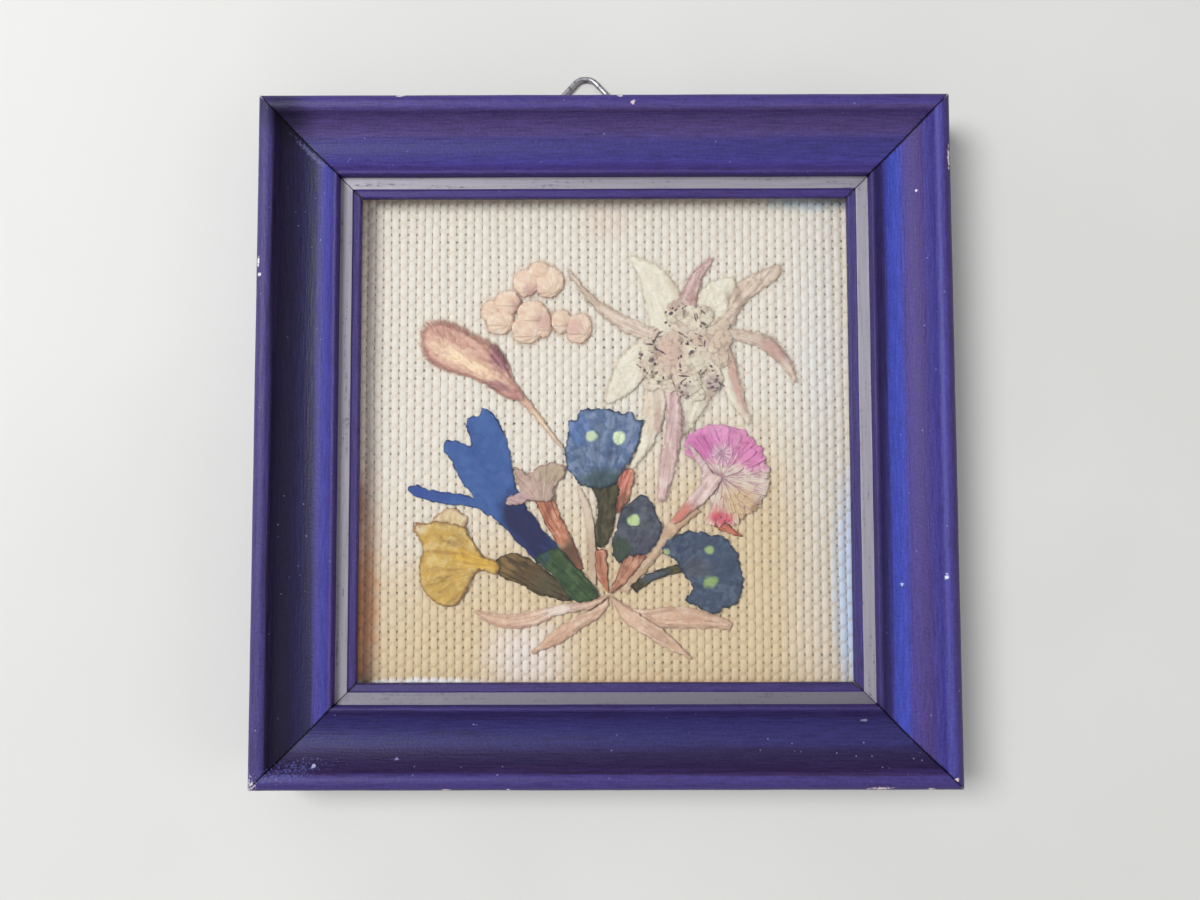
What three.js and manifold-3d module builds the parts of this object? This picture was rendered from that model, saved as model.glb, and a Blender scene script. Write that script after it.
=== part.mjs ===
// Small square picture frame with pressed mountain flowers on linen under glass, lying on its back.
// Millimetres. X runs to the right, Y towards the hanger at the top edge, Z out of the front.
// The origin is the middle of the back board's rear face, which lies on Z = 0.

import * as THREE from "three";
import { mergeVertices } from "three/addons/utils/BufferGeometryUtils.js";
import Module from "manifold-3d";

const wasm = await Module();
wasm.setup();

// Frame moulding
const FRAME_WIDTH = 120;
const FRAME_HEIGHT = 119;
const RAIL_WIDTH = 17;
const RAIL_TOP = 14;
const RABBET_WIDTH = 3;
const MITRE_GAP = 0.25;
const CURVE_STEPS = 9;

// Stack from the back board to the glass
const SEAT_GAP = 0.05;
const BOARD_THICKNESS = 2;
const BOARD_INSET = 4;
const CARD_THICKNESS = 2.1;
const LINEN_THICKNESS = 0.8;
const FLOWER_ROOM = 1.4;
const GLASS_THICKNESS = 1.5;
const PANE_CLEARANCE = 0.3;

const RAIL_BACK = BOARD_THICKNESS + SEAT_GAP;
const CARD_Z = RAIL_BACK;
const LINEN_Z = CARD_Z + CARD_THICKNESS + SEAT_GAP;
const LINEN_TOP = LINEN_Z + LINEN_THICKNESS;
const GLASS_Z = LINEN_TOP + FLOWER_ROOM;
const LEDGE_Z = GLASS_Z + GLASS_THICKNESS + SEAT_GAP;
const LIP_Z = LEDGE_Z + 1.25;
const PANE_WIDTH = FRAME_WIDTH - 2 * (RAIL_WIDTH - RABBET_WIDTH + PANE_CLEARANCE);
const PANE_HEIGHT = FRAME_HEIGHT - 2 * (RAIL_WIDTH - RABBET_WIDTH + PANE_CLEARANCE);

// Pressed pieces lie in four thin layers where they cross each other
const PETAL = 0.28;
const LAYER_PITCH = 0.32;
const LAYER_0 = LINEN_TOP + 0.02;
const HEAD_HEIGHT = 0.7;
const EVERLASTING_HEIGHT = 1.25;
const SPLINE_STEPS = 3;
const RIBBON_STEPS = 4;

// Hanger: wire ring in a folded strap, nailed to the back of the top rail
const HANGER_X = -3.4;
const HANGER_PIVOT_Y = 57;
const WIRE_RADIUS = 0.5;
const RING_BASE_WIDTH = 22.4;
const RING_TOP_WIDTH = 2.4;
const RING_HEIGHT = 10.9;
const RING_PIVOT_Z = 1;
const RING_TIP_Z = 0.52;
const STRAP_WIDTH = 6;
const STRAP_THICKNESS = 0.35;
const STRAP_END_Y = 48;
const NAIL_Y = 50;
const NAIL_RADIUS = 0.5;
const NAIL_HOLE_RADIUS = 0.62;
const NAIL_TIP_Z = 7.6;
const NOTCH_WIDTH = 27;
const NOTCH_Y = 46.5;

const material = (color, roughness, metalness = 0) =>
  new THREE.MeshStandardMaterial({ color, roughness, metalness });

const PAINT = material(0x463c72, 0.42);
const BOARD = material(0x8a6b49, 0.85);
const CARD = material(0xb9ad97, 0.9);
const LINEN = material(0xe6dcc4, 0.9);
const STEEL = material(0xa9a8a4, 0.35, 0.9);
const GLASS = new THREE.MeshStandardMaterial({
  color: 0xf2f7f5,
  roughness: 0.03,
  transparent: true,
  opacity: 0.18,
});
const CREAM = material(0xe5ddc0, 0.85);
const TAN = material(0xcdab88, 0.85);
const MAUVE = material(0xb9928f, 0.85);
const PEACH = material(0xe2c2a0, 0.8);
const GRASS = material(0xcc9a85, 0.85);
const BLUE = material(0x3550a0, 0.8);
const GREEN = material(0x3c6b3f, 0.8);
const YELLOW = material(0xcfa84a, 0.8);
const BROWN = material(0x6e5636, 0.85);
const ORANGE = material(0xc5663f, 0.8);
const OLIVE = material(0x4b5b38, 0.85);
const SLATE = material(0x4a5f86, 0.8);
const PINK = material(0xe07bb5, 0.75);

const frame = new THREE.Group();

function add(name, geometry, finish, parent = frame) {
  const mesh = new THREE.Mesh(geometry, finish);
  mesh.name = name;
  parent.add(mesh);
  return mesh;
}

// ---- Solids -------------------------------------------------------------------------------

// A closed three.js mesh as a manifold solid, without the flat triangles at a lathe's poles.
function solidOf(geometry) {
  const bare = geometry.clone();
  bare.deleteAttribute("normal");
  bare.deleteAttribute("uv");
  const merged = mergeVertices(bare, 1e-5);
  const index = merged.index.array;
  const corners = [];
  for (let i = 0; i < index.length; i += 3) {
    const [a, b, c] = [index[i], index[i + 1], index[i + 2]];
    if (a !== b && b !== c && c !== a) corners.push(a, b, c);
  }
  return new wasm.Manifold(new wasm.Mesh({
    numProp: 3,
    vertProperties: new Float32Array(merged.attributes.position.array),
    triVerts: new Uint32Array(corners),
  }));
}

function geometryOf(solid) {
  const mesh = solid.getMesh();
  const geometry = new THREE.BufferGeometry();
  geometry.setAttribute("position", new THREE.BufferAttribute(mesh.vertProperties, 3));
  geometry.setIndex(new THREE.BufferAttribute(mesh.triVerts, 1));
  return geometry;
}

const fuse = (...geometries) => geometryOf(geometries.map(solidOf).reduce((a, b) => a.add(b)));

function drill(geometry, radius, x, y, bottom, top) {
  const bit = new THREE.CylinderGeometry(radius, radius, top - bottom, 12);
  bit.rotateX(Math.PI / 2);
  bit.translate(x, y, (bottom + top) / 2);
  return geometryOf(solidOf(geometry).subtract(solidOf(bit)));
}

function slab(shape, bottom, thickness) {
  const geometry = new THREE.ExtrudeGeometry(shape, { depth: thickness, bevelEnabled: false });
  return geometry.translate(0, 0, bottom);
}

function panel(width, height, bottom, thickness) {
  return new THREE.BoxGeometry(width, height, thickness).translate(0, 0, bottom + thickness / 2);
}

// ---- Outlines of pressed pieces -----------------------------------------------------------

const onPlane = ([x, y]) => new THREE.Vector3(x, y, 0);

// Closed smooth outline through a few corner points.
function outline(...points) {
  const curve = new THREE.CatmullRomCurve3(points.map(onPlane), true, "centripetal");
  const stations = curve.getPoints(points.length * SPLINE_STEPS).slice(0, -1);
  return new THREE.Shape(stations.map(({ x, y }) => new THREE.Vector2(x, y)));
}

// Strip along a smooth line of [x, y, width] stations, for stems, tubes and narrow leaves.
function ribbon(...stations) {
  const spine = new THREE.CatmullRomCurve3(stations.map(onPlane), false, "centripetal");
  const steps = (stations.length - 1) * RIBBON_STEPS;
  const left = [];
  const right = [];
  for (let i = 0; i <= steps; i++) {
    const place = (i / steps) * (stations.length - 1);
    const k = Math.min(Math.floor(place), stations.length - 2);
    const half = THREE.MathUtils.lerp(stations[k][2], stations[k + 1][2], place - k) / 2;
    const at = spine.getPoint(i / steps);
    const along = spine.getTangent(i / steps);
    left.push(new THREE.Vector2(at.x - along.y * half, at.y + along.x * half));
    right.unshift(new THREE.Vector2(at.x + along.y * half, at.y - along.x * half));
  }
  return new THREE.Shape([...left, ...right]);
}

// Part of a round flower whose rim is scalloped by its ray petals.
function fan(x, y, radius, from, to, petals) {
  const points = [new THREE.Vector2(x - 2, y - 0.5)];
  const steps = petals * 2;
  for (let i = 0; i <= steps; i++) {
    const angle = THREE.MathUtils.degToRad(from + ((to - from) * i) / steps);
    const reach = i % 2 ? radius : radius - 0.5;
    points.push(new THREE.Vector2(x + reach * Math.cos(angle), y + reach * Math.sin(angle)));
  }
  return new THREE.Shape(points);
}

function pressed(name, shape, layer, finish) {
  add(name, slab(shape, LAYER_0 + layer * LAYER_PITCH, PETAL), finish);
}

// Flattened flower head: a low dome on an oval foot.
function dome(x, y, radiusX, radiusY, bottom, height) {
  const side = [[0, 0], [1, 0], [0.98, 0.4], [0.8, 0.75], [0.45, 0.95], [0, 1]];
  const profile = side.map(([r, z]) => new THREE.Vector2(r, z));
  const geometry = new THREE.LatheGeometry(profile, 14);
  geometry.rotateX(Math.PI / 2);
  geometry.scale(radiusX, radiusY, height);
  return geometry.translate(x, y, bottom);
}

// ---- Frame --------------------------------------------------------------------------------

// Section of the moulding: distance in from the outer edge, and height.
function mouldingSection() {
  const rabbet = RAIL_WIDTH - RABBET_WIDTH;
  const section = new THREE.Shape();
  section.moveTo(0, RAIL_BACK);
  section.lineTo(0, 12.1);
  section.bezierCurveTo(0, 13.3, 0.8, RAIL_TOP, 1.7, RAIL_TOP);
  section.bezierCurveTo(2.5, RAIL_TOP, 3.0, 13.6, 3.2, 13.0);
  section.bezierCurveTo(4.4, 10.2, 9.4, 8.0, 12.5, 11.1);
  section.bezierCurveTo(12.9, 11.5, 13.4, 11.5, 13.5, 11.0);
  section.lineTo(13.5, LIP_Z + 0.4);
  section.lineTo(15.6, LIP_Z + 0.35);
  section.lineTo(15.75, LIP_Z + 0.05);
  section.lineTo(16.8, LIP_Z);
  section.lineTo(RAIL_WIDTH, LIP_Z - 0.2);
  section.lineTo(RAIL_WIDTH, LEDGE_Z);
  section.lineTo(rabbet, LEDGE_Z);
  section.lineTo(rabbet, RAIL_BACK);
  return section;
}

// One rail along X with its outer edge at Y = reach, mitred at 45 degrees at both ends.
function mitredRail(length, reach) {
  const bar = new THREE.ExtrudeGeometry(mouldingSection(), {
    depth: 1,
    bevelEnabled: false,
    curveSegments: CURVE_STEPS,
  });
  const endGap = (MITRE_GAP / 2) * Math.SQRT2;
  const position = bar.attributes.position;
  for (let i = 0; i < position.count; i++) {
    const inward = position.getX(i);
    const height = position.getY(i);
    const along = (0.5 - position.getZ(i)) * (length - 2 * (inward + endGap));
    position.setXYZ(i, along, reach - inward, height);
  }
  return bar;
}

function buildRails() {
  const across = () => mitredRail(FRAME_WIDTH, FRAME_HEIGHT / 2);
  const upright = () => mitredRail(FRAME_HEIGHT, FRAME_WIDTH / 2);
  add("rail_top", drill(across(), NAIL_HOLE_RADIUS, HANGER_X, NAIL_Y, 1, NAIL_TIP_Z + 0.2), PAINT);
  add("rail_bottom", across(), PAINT).rotation.z = Math.PI;
  add("rail_left", upright(), PAINT).rotation.z = Math.PI / 2;
  add("rail_right", upright(), PAINT).rotation.z = -Math.PI / 2;
}

// The back board is notched round the hanger, so that ring and strap lie within its thickness.
function buildPanels() {
  const x = FRAME_WIDTH / 2 - BOARD_INSET;
  const y = FRAME_HEIGHT / 2 - BOARD_INSET;
  const notchLeft = HANGER_X - NOTCH_WIDTH / 2;
  const notchRight = HANGER_X + NOTCH_WIDTH / 2;
  const board = new THREE.Shape([
    [-x, -y], [x, -y], [x, y], [notchRight, y],
    [notchRight, NOTCH_Y], [notchLeft, NOTCH_Y], [notchLeft, y], [-x, y],
  ].map(([px, py]) => new THREE.Vector2(px, py)));
  add("back_board", slab(board, 0, BOARD_THICKNESS), BOARD);
  add("mount_card", panel(PANE_WIDTH, PANE_HEIGHT, CARD_Z, CARD_THICKNESS), CARD);
  add("linen_panel", panel(PANE_WIDTH, PANE_HEIGHT, LINEN_Z, LINEN_THICKNESS), LINEN);
  add("glass_pane", panel(PANE_WIDTH, PANE_HEIGHT, GLASS_Z, GLASS_THICKNESS), GLASS);
}

// ---- Hanger -------------------------------------------------------------------------------

// Path through corner points with each inner corner rounded.
function roundedPath(points, radius) {
  const path = new THREE.CurvePath();
  let start = points[0];
  for (let i = 1; i < points.length - 1; i++) {
    const before = points[i - 1].clone().sub(points[i]).setLength(radius).add(points[i]);
    const after = points[i + 1].clone().sub(points[i]).setLength(radius).add(points[i]);
    path.add(new THREE.LineCurve3(start, before));
    path.add(new THREE.QuadraticBezierCurve3(before, points[i], after));
    start = after;
  }
  path.add(new THREE.LineCurve3(start, points[points.length - 1]));
  return path;
}

// The wire's two ends meet in the middle of the base, inside the strap.
function ringGeometry() {
  const endGap = 0.15;
  const corners = [
    [-endGap, 0], [-RING_BASE_WIDTH / 2, 0], [-RING_TOP_WIDTH / 2, RING_HEIGHT],
    [RING_TOP_WIDTH / 2, RING_HEIGHT], [RING_BASE_WIDTH / 2, 0], [endGap, 0],
  ];
  const section = new THREE.Shape();
  section.absarc(0, 0, WIRE_RADIUS, 0, Math.PI * 2);
  return new THREE.ExtrudeGeometry(section, {
    steps: 56,
    curveSegments: 4,
    bevelEnabled: false,
    extrudePath: roundedPath(corners.map(onPlane), 1.1),
  });
}

// Metal strip folded round the wire, with one leg nailed to the rail. Drawn as Y and Z.
function strapGeometry() {
  const inner = WIRE_RADIUS + 0.1;
  const outer = inner + STRAP_THICKNESS;
  const y = HANGER_PIVOT_Y;
  const z = RING_PIVOT_Z;
  const legEnd = y - 2.4;
  const side = new THREE.Shape();
  side.moveTo(STRAP_END_Y, z + inner);
  side.lineTo(y, z + inner);
  side.absarc(y, z, inner, Math.PI / 2, -Math.PI / 2, true);
  side.lineTo(legEnd, z + 0.05);
  side.lineTo(legEnd - 0.1, z - 0.3);
  side.lineTo(y, z - outer);
  side.absarc(y, z, outer, -Math.PI / 2, Math.PI / 2, false);
  side.lineTo(STRAP_END_Y, z + outer);
  const strip = new THREE.ExtrudeGeometry(side, {
    depth: STRAP_WIDTH,
    bevelEnabled: false,
    curveSegments: 6,
  });
  const yzx = new THREE.Matrix4().makeBasis(
    new THREE.Vector3(0, 1, 0),
    new THREE.Vector3(0, 0, 1),
    new THREE.Vector3(1, 0, 0),
  );
  strip.applyMatrix4(yzx).translate(HANGER_X - STRAP_WIDTH / 2, 0, 0);
  return drill(strip, NAIL_HOLE_RADIUS, HANGER_X, NAIL_Y, 1.2, 2.4);
}

function nailGeometry() {
  const underHead = RING_PIVOT_Z + WIRE_RADIUS + 0.05;
  const headRadius = 1.3;
  const profile = [
    [0, underHead - 0.8], [0.7, underHead - 0.72], [headRadius, underHead - 0.3],
    [headRadius, underHead], [NAIL_RADIUS, underHead],
    [NAIL_RADIUS, NAIL_TIP_Z - 0.9], [0, NAIL_TIP_Z],
  ].map(([r, z]) => new THREE.Vector2(r, z));
  return new THREE.LatheGeometry(profile, 12).rotateX(Math.PI / 2).translate(HANGER_X, NAIL_Y, 0);
}

function buildHanger() {
  const pivot = new THREE.Group();
  pivot.position.set(HANGER_X, HANGER_PIVOT_Y, RING_PIVOT_Z);
  pivot.rotation.x = -Math.asin((RING_PIVOT_Z - RING_TIP_Z) / RING_HEIGHT);
  frame.add(pivot);
  add("hanger_ring", ringGeometry(), STEEL, pivot);
  add("hanger_strap", strapGeometry(), STEEL);
  add("hanger_nail", nailGeometry(), STEEL);
}

// ---- Edelweiss ----------------------------------------------------------------------------

function buildEdelweiss() {
  const bracts = [
    [0, CREAM, outline([4.6, 32.8], [9.3, 31.2], [12.6, 27.9], [13.9, 24.4],
      [12.5, 19.0], [9.0, 18.6], [7.6, 24.2], [6.1, 29.6])],
    [1, MAUVE, ribbon([14.6, 23.6, 3.4], [16.6, 29.0, 1.9], [19.4, 32.3, 0.5])],
    [0, CREAM, outline([16.0, 24.4], [18.6, 27.6], [21.6, 28.9], [23.5, 28.6],
      [23.0, 25.0], [21.8, 21.0], [18.5, 20.0], [16.0, 21.5])],
    [1, TAN, outline([31.4, 31.2], [31.8, 29.9], [29.7, 27.7], [26.3, 25.4], [24.1, 22.6],
      [23.0, 20.4], [21.2, 20.8], [22.4, 24.0], [23.4, 26.8], [24.7, 28.4], [27.8, 29.8])],
    [0, TAN, ribbon([20.6, 18.8, 1.6], [24.5, 18.5, 2.0], [28.8, 17.0, 2.6],
      [32.4, 13.6, 2.0], [34.3, 9.9, 0.4])],
    [0, CREAM, ribbon([21.0, 17.0, 2.4], [21.9, 12.6, 3.4], [23.5, 7.6, 2.9], [25.9, 2.4, 0.5])],
    [1, TAN, ribbon([-6.5, 30.3, 0.4], [-1.5, 24.4, 1.4], [3.8, 20.6, 2.6], [9.2, 18.2, 2.6])],
    [0, CREAM, outline([6.6, 17.2], [3.0, 14.6], [1.2, 10.6], [0.2, 6.3],
      [3.8, 7.8], [6.6, 10.2], [7.6, 13.0], [8.0, 16.0])],
    [0, CREAM, ribbon([9.2, 9.6, 4.0], [8.7, 4.0, 3.8], [7.3, -1.0, 2.3], [4.8, -5.2, 0.4])],
    [1, MAUVE, ribbon([11.9, 9.0, 2.4], [12.4, 2.0, 2.8], [11.3, -4.4, 2.9], [10.0, -11.0, 1.6])],
    [0, CREAM, outline([12.9, 9.4], [12.2, 4.6], [13.2, 1.7], [14.8, 0.8],
      [16.6, 3.6], [19.2, 7.4], [19.9, 9.6], [16.5, 11.0])],
  ];
  bracts.forEach(([layer, finish, shape], i) => {
    pressed(`edelweiss_bract_${i + 1}`, shape, layer, finish);
  });

  const headBottom = LAYER_0 + 2 * LAYER_PITCH;
  const head = (x, y, radiusX, radiusY) => dome(x, y, radiusX, radiusY, headBottom, HEAD_HEIGHT);
  add("edelweiss_heads", fuse(
    head(12.8, 22.6, 2.0, 2.1), head(17.8, 21.9, 1.9, 1.9), head(15.2, 19.5, 3.3, 2.4),
    head(11.6, 15.4, 2.5, 3.6), head(8.0, 13.9, 1.9, 3.2), head(17.1, 15.2, 3.6, 3.5),
    head(10.4, 11.8, 1.8, 1.7), head(14.7, 10.0, 2.6, 2.9), head(19.4, 10.8, 1.8, 2.4),
  ), CREAM);
}

// ---- Everlasting heads and grass ------------------------------------------------------------

function buildEverlastings() {
  const head = (x, y, radius) => dome(x, y, radius, radius, LAYER_0, EVERLASTING_HEIGHT);
  add("everlasting_top", fuse(head(-14.0, 28.3, 2.2), head(-9.6, 28.3, 2.25),
    head(-11.6, 30.1, 2.0)), PEACH);
  add("everlasting_left", fuse(head(-17.6, 24.4, 2.2), head(-18.8, 20.9, 2.2)), PEACH);
  add("everlasting_middle", fuse(head(-13.2, 21.6, 2.5), head(-12.9, 19.6, 2.7)), PEACH);
  add("everlasting_right", fuse(head(-7.8, 21.0, 1.8), head(-4.4, 19.3, 2.3)), PEACH);
}

function buildGrass() {
  pressed("grass_stem", ribbon([-15.9, 8.4, 1.8], [-12.6, 4.8, 1.3], [-10.0, 1.4, 0.9],
    [-7.2, -2.2, 0.5]), 0, TAN);
  pressed("grass_head", outline([-32.5, 18.0], [-31.4, 20.1], [-29.2, 20.6], [-26.0, 19.6],
    [-23.4, 18.1], [-19.6, 16.2], [-17.4, 13.2], [-15.8, 9.6], [-14.4, 7.0], [-16.4, 7.1],
    [-19.3, 8.8], [-23.2, 10.9], [-27.4, 12.3], [-30.4, 13.8], [-31.9, 15.8]), 1, GRASS);
}

// ---- Gentian and primroses on the left ------------------------------------------------------

function buildGentian() {
  pressed("gentian_flower", outline([-21.9, 5.6], [-20.3, 4.6], [-18.6, 2.4], [-16.9, -2.6],
    [-15.8, -8.4], [-14.2, -11.8], [-10.6, -16.6], [-7.9, -20.2], [-9.8, -21.4], [-11.8, -22.0],
    [-14.0, -20.0], [-17.2, -16.6], [-20.4, -13.8], [-22.9, -12.4], [-29.5, -11.4],
    [-33.3, -10.4], [-35.2, -9.1], [-33.8, -8.2], [-30.8, -9.2], [-26.0, -9.8], [-23.4, -10.5],
    [-25.8, -7.2], [-27.2, -4.3], [-28.9, -1.3], [-27.8, -0.1], [-23.9, -1.4], [-24.6, 1.9],
    [-24.5, 3.6], [-22.3, 4.2]), 1, BLUE);
  pressed("gentian_calyx", outline([-12.4, -21.5], [-8.3, -19.5], [-6.2, -21.6], [-3.7, -24.2],
    [-1.0, -27.6], [-1.8, -28.4], [-5.7, -28.7], [-8.1, -25.5], [-10.6, -23.0]), 2, GREEN);
}

function buildPrimroses() {
  pressed("primrose_back_petal", outline([-31.6, -15.6], [-30.2, -13.9], [-28.9, -12.9],
    [-27.2, -12.4], [-25.4, -13.0], [-24.6, -14.6], [-25.5, -17.5], [-30.0, -17.5]), 0, TAN);
  pressed("primrose_petals", outline([-34.1, -15.4], [-31.4, -14.9], [-28.2, -14.9],
    [-25.0, -15.6], [-23.4, -18.2], [-21.4, -21.0], [-18.7, -22.1], [-19.0, -24.0],
    [-22.3, -23.4], [-23.9, -25.4], [-25.2, -28.4], [-27.8, -29.8], [-30.1, -28.9],
    [-32.1, -27.2], [-32.9, -23.7], [-32.4, -19.1]), 1, YELLOW);
  pressed("primrose_calyx", outline([-19.8, -21.9], [-17.9, -20.8], [-16.4, -20.3],
    [-13.5, -21.2], [-11.0, -23.0], [-8.2, -25.3], [-6.0, -28.0], [-6.4, -28.9], [-9.2, -28.2],
    [-12.0, -27.6], [-14.5, -26.2], [-18.6, -24.4]), 0, BROWN);
  pressed("primula_petals", outline([-16.1, -4.8], [-13.9, -6.1], [-12.0, -5.2], [-9.6, -4.4],
    [-7.4, -5.0], [-7.2, -6.6], [-8.8, -8.4], [-9.3, -11.0], [-13.4, -11.2], [-17.0, -11.8],
    [-17.6, -10.8], [-15.3, -9.6], [-15.8, -7.2]), 2, MAUVE);
  pressed("primula_tube", ribbon([-11.2, -9.6, 3.2], [-9.2, -14.5, 3.0], [-6.9, -18.5, 2.7],
    [-4.2, -23.4, 1.2]), 0, ORANGE);
  pressed("pale_leaf", ribbon([-4.6, -8.9, 0.9], [-3.1, -13.0, 1.5], [-2.4, -18.0, 1.2],
    [-2.1, -26.0, 1.0]), 1, TAN);
}

// ---- Dusty blue flowers in the middle and on the right ---------------------------------------

function buildBlueFlowers() {
  pressed("blue_flower_top", outline([-6.2, 3.2], [-4.9, 3.4], [-4.2, 4.9], [-1.7, 5.4],
    [0.6, 5.2], [2.8, 4.5], [5.0, 4.6], [5.7, 3.3], [6.9, 3.0], [6.3, 0.4], [5.1, -3.2],
    [3.1, -5.5], [2.4, -7.6], [0.0, -8.8], [-3.0, -8.7], [-4.7, -8.1], [-5.3, -6.7],
    [-6.5, -6.0], [-7.0, -2.8], [-6.5, 0.3]), 2, SLATE);
  pressed("blue_flower_top_tube", outline([-2.6, -6.5], [2.6, -6.0], [2.2, -11.0], [1.5, -15.4],
    [0.3, -18.9], [-1.1, -19.3], [-2.4, -17.4], [-1.7, -15.5], [-1.2, -11.5],
    [-2.2, -9.2]), 0, OLIVE);
  pressed("blue_flower_top_stem", ribbon([-0.8, -19.7, 2.2], [-0.7, -23.5, 2.4],
    [0.3, -27.8, 1.0]), 0, ORANGE);
  pressed("red_leaf", outline([1.6, -5.6], [3.2, -5.3], [5.3, -5.9], [5.1, -7.8], [4.0, -10.6],
    [2.5, -13.2], [2.1, -11.4], [2.6, -9.2], [1.8, -7.2]), 1, ORANGE);

  pressed("blue_flower_middle", outline([7.0, -10.0], [8.3, -11.2], [9.3, -13.8], [10.1, -15.7],
    [9.2, -18.6], [6.9, -20.4], [3.9, -20.9], [2.2, -22.2], [1.4, -20.2], [1.7, -16.6],
    [3.1, -12.9], [5.4, -10.5]), 2, SLATE);
  pressed("blue_flower_middle_stem", ribbon([5.6, -20.0, 4.0], [3.8, -23.4, 2.6],
    [1.7, -27.0, 1.4]), 1, ORANGE);

  pressed("blue_flower_right", outline([10.2, -20.4], [10.8, -18.2], [12.9, -17.2],
    [16.2, -16.5], [18.3, -17.1], [20.6, -17.4], [22.4, -19.2], [23.7, -20.8], [23.8, -22.7],
    [24.6, -24.8], [24.2, -27.5], [23.1, -29.6], [20.9, -29.9], [19.5, -31.0], [16.8, -30.1],
    [14.2, -28.5], [15.5, -26.6], [14.0, -24.4], [13.2, -22.6], [12.6, -21.5],
    [11.4, -21.0]), 2, SLATE);
  pressed("blue_flower_right_stem", ribbon([14.0, -22.8, 1.6], [10.6, -23.8, 1.4],
    [7.6, -24.9, 1.6], [5.0, -26.8, 1.6]), 1, OLIVE);
}

// ---- Pink flower and the leaves at the foot --------------------------------------------------

function buildPinkFlower() {
  pressed("pink_flower", fan(20.3, -6.4, 9.1, 134, -97, 17), 1, PINK);
  pressed("pink_flower_stalk", outline([14.8, -0.7], [17.4, -3.6], [19.2, -6.2], [20.7, -7.1],
    [18.9, -10.0], [17.0, -11.9], [15.2, -13.3], [13.1, -15.1], [11.6, -15.0], [12.8, -13.2],
    [15.2, -10.3], [17.0, -7.9], [17.0, -5.3], [15.5, -3.1]), 2, MAUVE);
  pressed("pink_flower_tail", ribbon([18.6, -14.2, 2.0], [21.5, -16.0, 1.4],
    [24.4, -17.5, 0.4]), 0, ORANGE);
  pressed("tan_stem", ribbon([16.4, -12.4, 1.8], [12.6, -15.4, 2.2], [8.2, -20.6, 2.6],
    [3.2, -27.2, 1.2]), 0, TAN);
}

function buildBaseLeaves() {
  const leaves = [
    [1, outline([-23.2, -30.4], [-20.4, -32.8], [-16.4, -33.6], [-12.6, -33.2], [-8.8, -31.4],
      [-1.8, -30.0], [0.4, -29.3], [-1.0, -28.8], [-7.2, -29.3], [-12.6, -30.4],
      [-18.0, -31.2])],
    [0, ribbon([0.6, -30.2, 1.0], [-3.8, -32.1, 2.4], [-8.4, -35.0, 2.5], [-13.0, -38.0, 0.5])],
    [2, ribbon([1.5, -29.2, 1.0], [4.4, -31.6, 2.6], [9.4, -34.8, 2.8], [15.2, -39.0, 0.5])],
    [0, outline([2.0, -28.8], [5.6, -30.2], [8.4, -30.1], [13.6, -29.8], [18.7, -31.1],
      [22.4, -32.6], [22.0, -33.8], [18.7, -33.6], [13.6, -33.6], [9.4, -33.4], [6.0, -31.4])],
  ];
  leaves.forEach(([layer, shape], i) => pressed(`base_leaf_${i + 1}`, shape, layer, TAN));
}

buildRails();
buildPanels();
buildHanger();
buildEdelweiss();
buildEverlastings();
buildGrass();
buildGentian();
buildPrimroses();
buildBlueFlowers();
buildPinkFlower();
buildBaseLeaves();

export default frame;
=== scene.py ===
"""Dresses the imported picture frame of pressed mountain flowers.

Shapes are worked in millimetres, in the frame's own place, and handed over in metres.
X runs to the right across the picture, Y up towards the hanger and Z out of the front.
"""

import logging
import math
import random
from dataclasses import dataclass, field, replace
from enum import Enum
from typing import Sequence, Union

import bmesh
import bpy
import numpy as np
from mathutils import Matrix, Vector, noise
from mathutils.geometry import interpolate_bezier
from mathutils.kdtree import KDTree


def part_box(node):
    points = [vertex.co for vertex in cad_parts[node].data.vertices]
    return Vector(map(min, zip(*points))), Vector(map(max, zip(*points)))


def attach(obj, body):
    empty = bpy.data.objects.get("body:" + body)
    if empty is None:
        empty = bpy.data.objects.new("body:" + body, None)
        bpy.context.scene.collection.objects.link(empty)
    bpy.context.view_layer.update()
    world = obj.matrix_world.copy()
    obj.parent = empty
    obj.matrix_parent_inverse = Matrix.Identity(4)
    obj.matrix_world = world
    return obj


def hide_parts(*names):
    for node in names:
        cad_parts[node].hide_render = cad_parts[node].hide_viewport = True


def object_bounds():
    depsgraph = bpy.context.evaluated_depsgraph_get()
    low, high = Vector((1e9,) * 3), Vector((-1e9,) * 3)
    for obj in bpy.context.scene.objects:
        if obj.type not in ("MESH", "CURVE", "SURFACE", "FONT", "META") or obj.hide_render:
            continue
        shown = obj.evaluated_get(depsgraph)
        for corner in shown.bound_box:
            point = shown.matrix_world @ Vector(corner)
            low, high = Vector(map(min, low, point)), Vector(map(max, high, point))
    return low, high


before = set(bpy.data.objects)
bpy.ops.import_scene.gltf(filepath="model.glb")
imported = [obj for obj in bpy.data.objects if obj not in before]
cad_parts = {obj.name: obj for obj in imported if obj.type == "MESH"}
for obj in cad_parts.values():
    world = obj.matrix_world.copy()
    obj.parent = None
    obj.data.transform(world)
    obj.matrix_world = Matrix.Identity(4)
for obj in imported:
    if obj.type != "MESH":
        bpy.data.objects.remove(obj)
CAD_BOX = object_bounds()

MM = 0.001
LINEN_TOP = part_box("linen_panel")[1].z / MM
GLASS_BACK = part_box("glass_pane")[0].z / MM
SLACK = 0.02  # how far a piece keeps off what it lies on, and a hair's foot sinks in
NOISE_SEED = 7
log = logging.getLogger("pressed_flowers")

Colour = tuple[float, float, float, float]
Point = tuple[float, float]


class Body(Enum):
    """The two bodies that pieces ride on."""

    FRAME = "frame"
    RING = "ring"


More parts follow.
